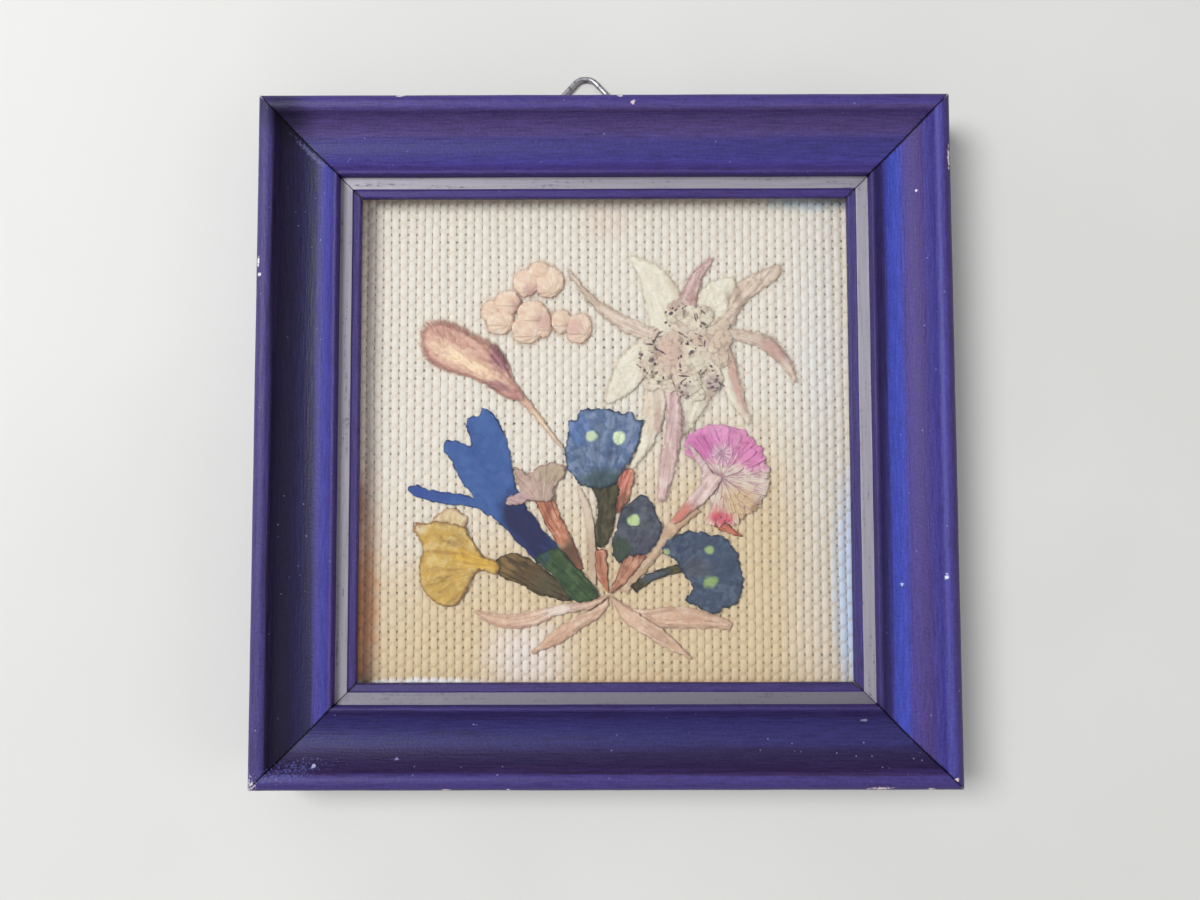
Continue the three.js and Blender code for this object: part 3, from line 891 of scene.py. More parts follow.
@dataclass
class Moulding:
    """Four mitred lengths of cove moulding, painted, with a gilt line by the window."""

    width: float = 17.0
    rabbet: float = 3.0
    step: float = 13.5
    gilt_end: float = 15.65
    mitre_gap: float = 0.14
    arris: float = 0.12
    cut_pitch: float = 2.4
    wobble: float = 0.035
    sharp: float = 32.0
    curve_steps: int = 16
    back: float = field(init=False)
    front: float = field(init=False)
    ledge: float = field(init=False)

    def __post_init__(self) -> None:
        """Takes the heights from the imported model."""
        low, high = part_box("rail_top")
        self.back, self.front = low.z / MM, high.z / MM
        self.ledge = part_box("glass_pane")[1].z / MM + 0.05

    def section(self) -> list[Point]:
        """Draws the moulding's section: rounded edge, cove, gilt step and lip over the pane.

        Returns:
            Distance in from the outer edge, and height, corner by corner.
        """
        top = self.front
        bends = [
            ((0.0, 12.1), (0.0, 13.3), (0.8, top), (1.7, top)),
            ((1.7, top), (2.5, top), (3.0, 13.6), (3.2, 13.0)),
            ((3.2, 13.0), (4.4, 10.2), (9.4, 8.0), (12.5, 11.1)),
            ((12.5, 11.1), (12.9, 11.5), (13.4, 11.5), (self.step, 11.0)),
        ]
        lip = self.ledge + 1.25
        points: list[Point] = [(0.0, self.back)]
        for bend in bends:
            curve = interpolate_bezier(*(Vector((*p, 0.0)) for p in bend), self.curve_steps)
            points += [(p.x, p.y) for p in curve[:-1]]
        points += [(self.step, 11.0), (self.step, lip + 0.4), (15.6, lip + 0.35),
                   (15.75, lip + 0.05), (16.8, lip), (self.width, lip - 0.2),
                   (self.width, self.ledge), (self.width - self.rabbet, self.ledge),
                   (self.width - self.rabbet, self.back)]
        return points

    def bar(self, length: float, reach: float) -> bmesh.types.BMesh:
        """One rail along X, mitred at both ends.

        Args:
            length: Length of its outer edge.
            reach: Y of its outer edge.

        Returns:
            The closed mesh, cut across along its length.
        """
        shape = bmesh.new()
        corners = [shape.verts.new((-length / 2, reach - inward, height))
                   for inward, height in self.section()]
        end = shape.faces.new(corners)
        grown = bmesh.ops.extrude_face_region(shape, geom=[end])
        far = [part for part in grown["geom"] if isinstance(part, bmesh.types.BMVert)]
        bmesh.ops.translate(shape, verts=far, vec=(length, 0.0, 0.0))
        bmesh.ops.recalc_face_normals(shape, faces=shape.faces)
        limit = math.radians(self.sharp)
        sharp = [edge for edge in shape.edges
                 if edge.calc_length() > length / 2 and edge.calc_face_angle() > limit]
        bmesh.ops.bevel(shape, geom=sharp, offset=self.arris, offset_type="OFFSET", segments=2,
                        profile=0.5, affect="EDGES", material=-1, clamp_overlap=True)
        for hand in (-1, 1):
            cut = bmesh.ops.bisect_plane(
                shape, geom=[*shape.verts, *shape.edges, *shape.faces], dist=1e-5,
                plane_co=(hand * (length / 2 - self.mitre_gap / 2 * math.sqrt(2)), reach, 0.0),
                plane_no=(hand, -1.0, 0.0), clear_outer=True)
            rim = [part for part in cut["geom_cut"] if isinstance(part, bmesh.types.BMEdge)]
            bmesh.ops.edgeloop_fill(shape, edges=rim)
        cut_across(shape, 0, self.cut_pitch)
        return shape

    def rail(self, side: Side, node: str, finishes: Sequence[bpy.types.Material]) -> None:
        """Builds, marks and hands over one rail.

        Args:
            side: Which side of the frame it is.
            node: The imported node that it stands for.
            finishes: Paint, gilt and bare wood.
        """
        low, high = CAD_BOX[0] / MM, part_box("rail_right")[1] / MM
        upright = side in (Side.LEFT, Side.RIGHT)
        length = -2 * low.y if upright else 2 * high.x
        reach = high.x if upright else -low.y
        shape = self.bar(length, reach)
        inward = shape.verts.layers.float.new("inward")
        mitre = shape.verts.layers.float.new("mitre")
        run = shape.verts.layers.float_vector.new("run")
        outward = shape.verts.layers.float_vector.new("outward")
        seed = float(side.value)
        for vert in shape.verts:
            vert[inward] = reach - vert.co.y
            vert[mitre] = (length / 2 - abs(vert.co.x) - vert[inward]) / math.sqrt(2)
            vert[run] = (vert.co.x, vert[inward], vert.co.z + seed)
            vert[outward] = side.outward
            if vert.co.z > self.back + 0.5:
                shift = noise.noise_vector(Vector((vert.co.x * 0.12, vert.co.z * 0.5, seed)))
                vert.co.y += shift.y * self.wobble
                vert.co.z += min(shift.z * self.wobble, self.front - vert.co.z)
        for face in shape.faces:
            middle = face.calc_center_median()
            depth = reach - middle.y
            if self.step + 0.05 < depth < self.gilt_end and face.normal.z > 0.7:
                face.material_index = 1
            elif face.normal.z < -0.8:
                face.material_index = 2
        bmesh.ops.rotate(shape, verts=shape.verts, cent=(0, 0, 0),
                         matrix=Matrix.Rotation(math.radians(side.value), 3, "Z"))
        hand_over(shape, Label(f"moulding_{side.name.lower()}", "paint", (node,)), finishes,
                  self.sharp)

    def build(self) -> None:
        """Builds the four rails."""
        finishes = [Paint().material(), Gilt().material(),
                    Timber("bare_wood", "C9A876", "A27B4C", run="run").material()]
        for side in Side:
            self.rail(side, f"rail_{side.name.lower()}", finishes)


@dataclass
class Backing:
    """Board and card behind the linen, and the glass before the flowers."""

    board_arris: float = 0.25

    def build(self) -> None:
        """Softens the board's arrises and dresses the card and the pane."""
        board = copy_of("back_board")
        bmesh.ops.dissolve_limit(board, angle_limit=0.01, verts=board.verts, edges=board.edges)
        bmesh.ops.bevel(board, geom=board.edges, offset=self.board_arris, offset_type="OFFSET",
                        segments=2, profile=0.5, affect="EDGES", material=-1)
        hardboard = Timber("hardboard", "8F6B45", "6F5033", 2.5, 1.6, 4.5)
        hand_over(board, Label("board", "board", ("back_board",)), [hardboard.material()], 40)
        card = Timber("card", "BBAF99", "A89C86", 1.2, 1.0, 6.0, 0.9).material()
        self.dress("mount_card", card)
        self.dress("glass_pane", Glass().material())

    def dress(self, node: str, finish: bpy.types.Material) -> None:
        """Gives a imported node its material.

        Args:
            node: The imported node's name.
            finish: Its material.
        """
        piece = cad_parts[node]
        piece.data.materials.clear()
        piece.data.materials.append(finish)
        log.info("%s: dressed", node)


# ---- Hanger ----


@dataclass
class Hanger:
    """Wire ring bent to a flat-topped triangle, in a folded strap held by a nail."""

    x: float = -3.4
    pivot: Point = (57.0, 1.0)
    wire: float = 0.5
    base: float = 22.4
    crest: float = 2.4
    height: float = 10.9
    tip: float = 0.52
    bend: float = 1.1
    sides: int = 14
    gap: float = 0.3
    strap_arris: float = 0.06

    def route(self) -> list[Vector]:
        """Draws the wire's middle line, from one end to the other, laid flat.

        Returns:
            Points along it, with the pivot at the origin.
        """
        half, top = self.base / 2, self.crest / 2
        corners = [Vector(p) for p in [
            (-self.gap / 2, 0, 0), (-half, 0, 0), (-top, self.height, 0),
            (top, self.height, 0), (half, 0, 0), (self.gap / 2, 0, 0)]]
        path = [corners[0]]
        for before, corner, after in zip(corners, corners[1:-1], corners[2:]):
            start = corner + (before - corner).normalized() * self.bend
            end = corner + (after - corner).normalized() * self.bend
            path += [start.lerp(path[-1], 0.5)]
            path += interpolate_bezier(start, start.lerp(corner, 0.66), end.lerp(corner, 0.66),
                                       end, 9)
        return path + [corners[-1]]

    def build(self) -> None:
        """Builds the ring, the strap and the nail."""
        finish = Steel().material()
        ring = swept_wire(self.route(), self.wire, self.sides)
        tilt = -math.asin((self.pivot[1] - self.tip) / self.height)
        bmesh.ops.rotate(ring, verts=ring.verts, cent=(0, 0, 0),
                         matrix=Matrix.Rotation(tilt, 3, "X"))
        bmesh.ops.translate(ring, verts=ring.verts, vec=(self.x, *self.pivot))
        hand_over(ring, Label("ring_wire", "steel", ("hanger_ring",), Body.RING), [finish], 60)
        for node in ("hanger_strap", "hanger_nail"):
            shape = copy_of(node)
            bmesh.ops.dissolve_limit(shape, angle_limit=0.01, verts=shape.verts,
                                     edges=shape.edges)
            sharp = [e for e in shape.edges if e.calc_face_angle(0.0) > math.radians(40)]
            bmesh.ops.bevel(shape, geom=sharp, offset=self.strap_arris, offset_type="OFFSET",
                            segments=2, profile=0.5, affect="EDGES", material=-1,
                            clamp_overlap=True)
            hand_over(shape, Label(f"{node}_metal", "steel", (node,)), [finish], 40)


# ---- Linen ----


@dataclass
class Weave:
    """Coarse plain weave whose warp stands out in staggered pills."""

    warp_pitch: float = 1.485
    pick_pitch: float = 1.377
    warp_half: Point = (0.61, 0.17)
    weft_half: Point = (0.64, 0.13)
    warp_rise: float = 0.17
    weft_rise: float = 0.03
    warp_drift: float = 0.32
    weft_drift: float = 0.2
    tuck: float = 0.11
    dip: float = 0.62
    unevenness: float = 0.10
    sides: int = 6

    def __post_init__(self) -> None:
        """Takes the cloth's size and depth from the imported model."""
        low, high = (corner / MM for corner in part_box("linen_panel"))
        self.width, self.length = high.x - low.x, high.y - low.y
        self.middle = high.z - self.warp_rise - self.warp_half[1] - 0.02
        self.columns = round(self.width / self.warp_pitch)
        self.picks = round(self.length / self.pick_pitch)

    def yarn(self, count: int, length: float, rings: int) -> bmesh.types.BMesh:
        """Straight closed yarns side by side along Y, not yet woven.

        Args:
            count: How many yarns.
            length: Their length.
            rings: Cuts along each.

        Returns:
            The mesh, whose vertices hold their yarn's number and place round it.
        """
        shape = bmesh.new()
        bmesh.ops.create_cone(shape, cap_ends=True, segments=self.sides, radius1=1.0, radius2=1.0,
                              depth=length, matrix=Matrix.Rotation(math.pi / 2, 4, "X"))
        bmesh.ops.rotate(shape, verts=shape.verts, cent=(0, 0, 0),
                         matrix=Matrix.Rotation(math.pi / self.sides, 3, "Y"))
        cut_across(shape, 1, length / rings)
        single = bpy.data.meshes.new("yarn")
        number = shape.verts.layers.int.new("number")
        shape.to_mesh(single)
        size = len(shape.verts)
        for _ in range(count - 1):
            shape.from_mesh(single)
        shape.verts.ensure_lookup_table()
        for i in range(count):
            for vert in shape.verts[i * size:(i + 1) * size]:
                vert[number] = i
        bpy.data.meshes.remove(single)
        return shape

    def pill(self, share: float) -> tuple[float, float]:
        """How high and how wide a warp yarn is between a pill's middle, 0, and the dip, 1."""
        lift = 1 - 1.25 * ease((share - self.dip) / (1 - self.dip))
        return lift, 0.76 + 0.24 * math.sqrt(max(0.0, 1 - share ** 4))

    def warp(self) -> bmesh.types.BMesh:
        """Weaves the upright yarns, which rise over every second pick.

        Returns:
            Their mesh.
        """
        shape = self.yarn(self.columns, self.length, self.picks * 4)
        number = shape.verts.layers.int["number"]
        half, thick = self.warp_half
        for vert in shape.verts:
            i = vert[number]
            along = vert.co.y
            pair = (along * self.picks / self.length + self.picks / 2 - 0.5 + i) / 2
            off = pair - round(pair)
            tuck = self.tuck * math.sin(math.pi * 2 * abs(off))
            lift, swell = self.pill(2 * abs(off) + tuck)
            slub = noise.noise(Vector((i * 7.3, along * 0.16, 1.0)))
            drift = noise.noise(Vector((i * 0.31, along * 0.045, 5.0)))
            spread = half * swell * (1 + self.unevenness * slub)
            middle = (i + 0.5 - self.columns / 2) * self.width / self.columns
            vert.co.x = middle + vert.co.x * spread + drift * self.warp_drift
            vert.co.y += math.copysign(tuck * self.length / self.picks, off)
            vert.co.z = self.middle + lift * self.warp_rise + vert.co.z * thick
        return shape

    def weft(self) -> bmesh.types.BMesh:
        """Weaves the cross yarns, which show between the pills.

        Returns:
            Their mesh.
        """
        shape = self.yarn(self.picks, self.width, self.columns * 3)
        number = shape.verts.layers.int["number"]
        half, thick = self.weft_half
        pitch = self.length / self.picks
        for vert in shape.verts:
            i = vert[number]
            along = vert.co.y
            column = along / (self.width / self.columns) + self.columns / 2 - 0.5
            lift = -math.cos(math.pi * (column + i))
            slub = noise.noise(Vector((i * 5.1, along * 0.2, 9.0)))
            drift = noise.noise(Vector((i * 0.4, along * 0.05, 3.0)))
            middle = (i + 0.5 - self.picks / 2) * pitch
            side = vert.co.x * half * (1 + self.unevenness * slub)
            vert.co = (along, middle + side + drift * self.weft_drift,
                       self.middle + lift * self.weft_rise + vert.co.z * thick)
        bmesh.ops.recalc_face_normals(shape, faces=shape.faces)
        return shape

    def build(self) -> None:
        weft = hand_over(self.weft(), Label("linen_weft", "linen", ("linen_panel",)),
                         [Linen("weft_yarn", (6.0, 0.0)).material()], 80)
        warp = hand_over(self.warp(), Label("linen_warp", "linen", ("linen_panel",)),
                         [Linen("warp_yarn", (0.0, 6.0)).material()], 80)
        self.width * MM


# ---- Pressed pieces ----


class Bed:
    """Heights of what already lies on the linen, over which the next piece drapes."""

    def __init__(self, pitch: float = 0.4, margin: float = 46.0) -> None:
        """Starts with the bare linen.

        Args:
            pitch: Size of one cell.
            margin: How far the bed reaches from the middle each way.
        """
        self.pitch, self.margin = pitch, margin
        cells = round(2 * margin / pitch) + 1
        self.tops = np.full((cells, cells), LINEN_TOP)
        self.smooth = self.tops.copy()

    def ready(self) -> None:
        """Spreads and rounds the heights, so that nothing drapes into what it lies on."""
        padded = np.pad(self.tops, 1, mode="edge")
        cells = len(self.tops)
        shifts = [padded[i:i + cells, j:j + cells] for i in range(3) for j in range(3)]
        smooth = np.maximum.reduce(shifts)
        for _ in range(3):
            padded = np.pad(smooth, 1, mode="edge")
            shifts = [padded[i:i + cells, j:j + cells] for i in range(3) for j in range(3)]
            smooth = np.maximum(sum(shifts) / 9, self.tops)
        self.smooth = smooth

    def cell(self, x: float, y: float) -> tuple[int, int, float, float]:
        """Finds the cell that holds a point.

        Args:
            x: The point's X.
            y: The point's Y.

        Returns:
            The cell's two numbers, and how far across and up it the point lies, from 0 to 1.
        """
        across = min(max((x + self.margin) / self.pitch, 0.0), len(self.tops) - 1.001)
        up = min(max((y + self.margin) / self.pitch, 0.0), len(self.tops) - 1.001)
        return int(across), int(up), across - int(across), up - int(up)

    def height(self, x: float, y: float) -> float:
        """Measures the rounded height under a point.

        Args:
            x: The point's X.
            y: The point's Y.

        Returns:
            The height.
        """
        i, j, s, t = self.cell(x, y)
        grid = self.smooth
        near = grid[i, j] * (1 - s) + grid[i + 1, j] * s
        far = grid[i, j + 1] * (1 - s) + grid[i + 1, j + 1] * s
        return float(near * (1 - t) + far * t)

    def settle(self, x: float, y: float, top: float) -> None:
        """Notes that something now reaches higher at a point.

        Args:
            x: The point's X.
            y: The point's Y.
            top: How high it reaches.
        """
        i, j, s, t = self.cell(x, y)
        i, j = i + round(s), j + round(t)
        self.tops[i, j] = max(self.tops[i, j], top)


class Run(Enum):
    """How a piece's veins run."""

    STRAIGHT = "straight"
    SPREAD = "spread"
    RIM = "rim"


@dataclass(frozen=True)
class Veins:
    """Where veins run: straight at an angle, spread from a point, or along the rim."""

    run: Run = Run.RIM
    turn: float = 0.0
    x: float = 0.0
    y: float = 0.0

    def place(self, x: float, y: float, rim: float) -> tuple[float, float]:
        """A point's place across and along the veins, in millimetres.

        Args:
            x: The point's X.
            y: The point's Y.
            rim: Its distance from the piece's rim.

        Returns:
            Across and along.
        """
        angle = math.radians(self.turn)
        if self.run is Run.SPREAD:
            away = Vector((x - self.x, y - self.y))
            ahead = Vector((math.cos(angle), math.sin(angle)))
            spread = math.atan2(ahead.x * away.y - ahead.y * away.x, ahead.dot(away))
            return spread * 8.0, away.length
        along = x * math.cos(angle) + y * math.sin(angle)
        if self.run is Run.RIM:
            return rim * 1.6, along
        return y * math.cos(angle) - x * math.sin(angle), along


@dataclass(frozen=True)
class Relief:
    """How a pressed piece lies: slow waves, vein ridges, creases, frayed rim and thickness."""

    wave: float = 0.12
    ridge: float = 0.06
    spacing: float = 0.7
    crumple: float = 0.12
    fray: float = 0.18
    thickness: float = 0.16

    def lift(self, place: Point, veins: Point, rim: float, seed: float) -> float:
        """Adds up the waves, the vein ridges and the creases at a point.

        Args:
            place: The point's X and Y.
            veins: Its place across and along the veins.
            rim: Its distance from the piece's rim.
            seed: A number of the piece's own.

        Returns:
            Height above what it lies on, 0 or more.
        """
        x, y = place
        across, along = veins
        wave = 0.5 + noise.noise(Vector((x * 0.3, y * 0.3, seed)))
        ridge = 0.5 + noise.noise(Vector((across / self.spacing, along * 0.14, seed)))
        crease = abs(noise.noise(Vector((x * 0.8, y * 0.8, seed + 3.0))))
        crease += 0.5 * abs(noise.noise(Vector((x * 1.9, y * 1.9, seed + 7.0))))
        lift = max(wave, 0.0) * self.wave + ridge * self.ridge * ease(rim / 0.4)
        return max(lift + crease * self.crumple, 0.0)


@dataclass
class Fuzz:
    """Many fine tapered hairs joined in one mesh."""

    radius: float = 0.025
    hairs: list[tuple[Vector, Vector, float]] = field(default_factory=list)

    def grow(self, root: Vector, direction: Vector, length: float) -> None:
        """Adds a hair at root, pointing in direction."""
        self.hairs.append((root, direction, length))

    def weave_into(self, shape: bmesh.types.BMesh, material: int) -> None:
        """Joins all the hairs into a shape.

        Args:
            shape: The mesh that they go into.
            material: Their faces' material number.
        """
        single = bmesh.new()
        bmesh.ops.create_cone(single, cap_ends=True, segments=3, radius1=1.0, radius2=0.15,
                              depth=1.0, matrix=Matrix.Translation((0, 0, 0.5)))
        for face in single.faces:
            face.material_index = material
        template = bpy.data.meshes.new("hair")
        single.to_mesh(template)
        size, first = len(single.verts), len(shape.verts)
        single.free()
        for _ in self.hairs:
            shape.from_mesh(template)
        shape.verts.ensure_lookup_table()
        for i, (root, direction, length) in enumerate(self.hairs):
            place = Matrix.Translation(root) @ facing(direction)
            place = place @ Matrix.Diagonal((self.radius, self.radius, length, 1.0))
            for vert in shape.verts[first + i * size:first + (i + 1) * size]:
                vert.co = place @ vert.co
        bpy.data.meshes.remove(template)
        rim_layer = shape.verts.layers.float.get("rim")
        vein_layer = shape.verts.layers.float_vector.get("veins")
        if rim_layer and vein_layer:
            for i, vert in enumerate(shape.verts[first:]):
                vert[rim_layer] = 2.0
                vert[vein_layer] = (i // size * 0.37, 0.0, 0.0)


@dataclass(frozen=True)
class Felt:
    """Hairs on a piece, which lean away from a line between two places and along it."""

    count: int
    length: float
    radius: float = 0.03
    foot: Point = (14.0, 16.0)
    tip: Point = (14.0, 16.0)
    flare: float = 0.35
    mess: float = 0.9

    def way(self, root: Vector, chance: random.Random) -> Vector:
        """Finds the direction of a hair.

        Args:
            root: Where the hair grows.
            chance: Seeded source of random numbers.

        Returns:
            Its direction, of any length.
        """
        foot, line = Vector(self.foot), Vector(self.tip) - Vector(self.foot)
        share = (root.xy - foot).dot(line) / max(line.length_squared, 1e-6)
        away = root.xy - foot - line * min(max(share, 0.0), 1.0)
        ahead = (line.normalized() + away * self.flare).normalized()
        sway = Vector((chance.uniform(-1, 1), chance.uniform(-1, 1))) * self.mess
        return (ahead + sway).to_3d() + Vector((0.0, 0.0, 0.08))

    def cover(self, shape: bmesh.types.BMesh, tops: list[Vector], edge: list[Vector],
              seed: float) -> None:
        """Grows the hairs over a piece, three times as thick along its rim.

        Args:
            shape: The piece's mesh, which they are joined to.
            tops: Places on its upper face.
            edge: Those of them near its rim.
            seed: Where the random numbers start.
        """
        chance = random.Random(seed)
        fuzz = Fuzz(self.radius)
        for root in chance.choices(tops + 2 * edge, k=self.count):
            length = self.length * chance.uniform(0.6, 1.4)
            fuzz.grow(root - Vector((0, 0, SLACK)), self.way(root, chance), length)
        fuzz.weave_into(shape, 0)


@dataclass(frozen=True)
class Pressing:
    """One pressed petal, leaf or stem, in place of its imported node."""

    node: str
    slot: str
    petal: Petal
    veins: Veins = Veins()
    relief: Relief = Relief()
    felt: Felt | None = None
    root: Point | None = None
    pull: float = 4.5
    pitch: float = 0.27
    rim_width: float = 0.3
    clearance: float = 0.05

    def rims(self, shape: bmesh.types.BMesh) -> KDTree:
        """Gathers the places of the piece's rim, to measure from.

        Args:
            shape: The piece's mesh.

        Returns:
            A tree of places at height 0.
        """
        outline = [v.co for v in shape.verts if any(abs(f.normal.z) < 0.5 for f in v.link_faces)]
        tree = KDTree(len(outline))
        for i, place in enumerate(outline):
            tree.insert((place.x, place.y, 0.0), i)
        tree.balance()
        return tree

    def strayed(self, x: float, y: float, rim: float, seed: float) -> Point:
        """Frays a point of the rim, and draws a point near the root to it.

        Args:
            x: The point's X.
            y: The point's Y.
            rim: Its distance from the rim.
            seed: A number of the piece's own.

        Returns:
            Its new X and Y.
        """
        stray = noise.noise_vector(Vector((x * 0.9, y * 0.9, seed)))
        stray += 0.9 * noise.noise_vector(Vector((x * 2.2, y * 2.2, seed)))
        hold = self.relief.fray * (1 - ease(rim))
        x, y = x + stray.x * hold, y + stray.y * hold
        if self.root:
            left = Vector(self.root) - Vector((x, y))
            share = 0.97 * ease(1.15 - left.length / self.pull)
            x, y = x + left.x * share, y + left.y * share
        return x, y

    def build(self, bed: Bed) -> None:
        """Cuts, frays, drapes and veins the piece, and hands it over.

        Args:
            bed: What it lies on, which it then adds to.
        """
        shape = copy_of(self.node)
        bmesh.ops.dissolve_limit(shape, angle_limit=0.01, verts=shape.verts, edges=shape.edges)
        cut_across(shape, 0, self.pitch)
        cut_across(shape, 1, self.pitch)
        tree = self.rims(shape)
        rim_layer = shape.verts.layers.float.new("rim")
        vein_layer = shape.verts.layers.float_vector.new("veins")
        middle = sum(corner.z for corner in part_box(self.node)) / 2 / MM
        seed = float(sum(map(ord, self.node)) % 97)
        bed.ready()
        tops: list[Vector] = []
        edge: list[Vector] = []
        for vert in shape.verts:
            x, y, upper = vert.co.x, vert.co.y, vert.co.z > middle
            rim = tree.find((x, y, 0.0))[2]
            veins = self.veins.place(x, y, rim)
            vert[rim_layer] = rim
            vert[vein_layer] = (*veins, seed)
            x, y = self.strayed(x, y, rim, seed)
            z = bed.height(x, y) + SLACK + self.relief.lift((x, y), veins, rim, seed)
            if upper:
                z += self.relief.thickness * (0.35 + 0.65 * ease(rim / 0.6))
                tops.append(Vector((x, y, z)))
                if rim < self.rim_width:
                    edge.append(tops[-1])
            vert.co = (x, y, min(z, GLASS_BACK - self.clearance))
        for top in tops:
            bed.settle(top.x, top.y, top.z)
        bmesh.ops.recalc_face_normals(shape, faces=shape.faces)
        if self.felt:
            self.felt.cover(shape, tops, edge, seed)
        skin = self.petal.material(f"{self.node}_skin")
        hand_over(shape, Label(f"{self.node}_pressed", self.slot, (self.node,)), [skin], 60)


@dataclass(frozen=True)
class Lobe:
    """One rounded flower head: where it lies, its half width and length, and its share of rise."""

    x: float
    y: float
    across: float
    up: float
    rise: float = 1.0


@dataclass(frozen=True)
class Speck:
    """A small dark sliver on a head: place, length, width and angle."""

    x: float
    y: float
    length: float
    width: float
    turn: float = 0.0


@dataclass
class EdelweissHeads:
    """Crowded woolly flower heads with dark slivers, in the middle of the edelweiss."""

    height: float = 0.62
    lumps: float = 0.26
    lump_scale: float = 1.25
    hairs: int = 2600
    hair_share: float = 0.16
    hair_radius: float = 0.022
    cream: str = "E2D6BE"
    tan: str = "CDB7A2"
    # Painted shade colour for the valleys between the lumps.
    brown: str = "937768"
    clearance: float = 0.06
    heads: tuple[Lobe, ...] = (
        Lobe(12.8, 22.6, 2.0, 2.1), Lobe(17.8, 21.9, 1.9, 1.9), Lobe(15.2, 19.5, 3.3, 2.4),
        Lobe(11.6, 15.4, 2.5, 3.6), Lobe(8.0, 13.9, 1.9, 3.2), Lobe(17.1, 15.2, 3.6, 3.5),
        Lobe(10.4, 11.8, 1.8, 1.7), Lobe(14.7, 10.0, 2.6, 2.9), Lobe(19.4, 10.8, 1.8, 2.4),
        Lobe(20.6, 20.2, 1.7, 1.5, 0.25), Lobe(21.0, 17.6, 1.8, 2.2, 0.3),
        Lobe(20.9, 14.4, 1.3, 1.8, 0.25), Lobe(19.0, 13.0, 1.9, 1.8, 0.55),
        Lobe(8.2, 9.6, 1.5, 1.3, 0.2), Lobe(11.5, 9.4, 1.8, 1.3, 0.25),
        Lobe(16.4, 7.8, 1.7, 1.2, 0.3), Lobe(13.8, 13.0, 3.0, 2.4, 0.7),
        Lobe(7.4, 16.8, 1.3, 1.4, 0.5), Lobe(15.3, 22.4, 1.6, 1.4, 0.6),
        Lobe(19.3, 18.8, 1.3, 1.3, 0.35),
    )
    specks: tuple[Speck, ...] = (
        Speck(11.9, 22.3, 0.75, 0.45, 30), Speck(12.8, 22.9, 0.6, 0.35, 40),
        Speck(14.0, 23.2, 0.5, 0.22, 60), Speck(14.2, 22.4, 0.7, 0.18, 65),
        Speck(16.3, 21.6, 1.5, 0.26, 100), Speck(17.7, 22.5, 1.0, 0.22, -50),
        Speck(17.7, 20.5, 0.8, 0.36, -20), Speck(11.0, 20.8, 0.5, 0.3, 40),
        Speck(9.9, 18.9, 1.2, 0.14, 30), Speck(13.7, 18.7, 1.1, 0.2, -32),
        Speck(15.6, 17.5, 0.6, 0.26, 30), Speck(17.2, 18.3, 0.7, 0.2, -12),
        Speck(17.9, 16.9, 1.1, 0.2, 85), Speck(17.1, 16.5, 0.6, 0.16, -10),
        Speck(14.8, 16.8, 0.7, 0.24, -15), Speck(15.6, 15.4, 0.7, 0.5, 20),
        Speck(13.7, 14.6, 0.6, 0.3, 80), Speck(13.5, 13.0, 0.8, 0.3, 100),
        Speck(8.0, 16.8, 1.3, 0.26, -5), Speck(9.1, 16.1, 0.9, 0.22, -45),
        Speck(10.3, 15.4, 1.4, 0.26, -32), Speck(6.5, 14.9, 0.8, 0.42, -40),
        Speck(6.5, 14.2, 0.7, 0.2, 90), Speck(8.3, 13.9, 0.85, 0.62, 30),
        Speck(7.1, 12.1, 0.55, 0.4, 60), Speck(6.4, 12.7, 0.5, 0.25, 0),
        Speck(9.3, 11.7, 0.8, 0.36, 40), Speck(10.5, 10.8, 0.5, 0.26, 90),
        Speck(14.3, 11.0, 2.1, 0.26, -6), Speck(12.4, 9.4, 1.6, 0.12, -70),
        Speck(13.3, 8.9, 0.5, 0.34, 70), Speck(14.3, 9.3, 0.55, 0.34, 0),
        Speck(13.7, 8.1, 0.5, 0.3, 30), Speck(15.7, 8.6, 1.2, 0.22, -65),
        Speck(14.8, 7.4, 0.6, 0.3, 30), Speck(18.0, 11.9, 1.0, 0.32, 55),
        Speck(19.1, 12.8, 0.7, 0.34, -45), Speck(19.8, 10.2, 0.8, 0.42, 60),
        Speck(20.5, 9.8, 0.6, 0.25, -60), Speck(18.6, 9.7, 0.7, 0.3, 0),
        Speck(19.2, 9.0, 0.8, 0.4, 20),
    )
    patches: tuple[Patch, ...] = (
        Patch(11.6, 15.4, 4.8, 7.6, "D0AA98", 10, 0.7, 0.6, 0.75),
        Patch(17.4, 17.4, 4.4, 2.6, "C6A08E", 0, 0.5, 0.6, 0.6),
        Patch(19.3, 10.0, 3.0, 2.8, "A99394", 0, 0.5, 0.6, 0.6),
        Patch(14.0, 8.6, 3.6, 2.8, "B9A7A2", 0, 0.5, 0.6, 0.55),
        Patch(12.6, 23.8, 2.6, 1.8, "B08C80", 30, 0.5, 0.6, 0.7),
        Patch(21.0, 17.4, 3.6, 8.0, "D2B8A0", 0, 0.5, 0.5, 0.85),
        Patch(16.6, 13.6, 3.4, 3.0, "D8CFB6", 0, 0.5, 0.6, 0.6),
    )

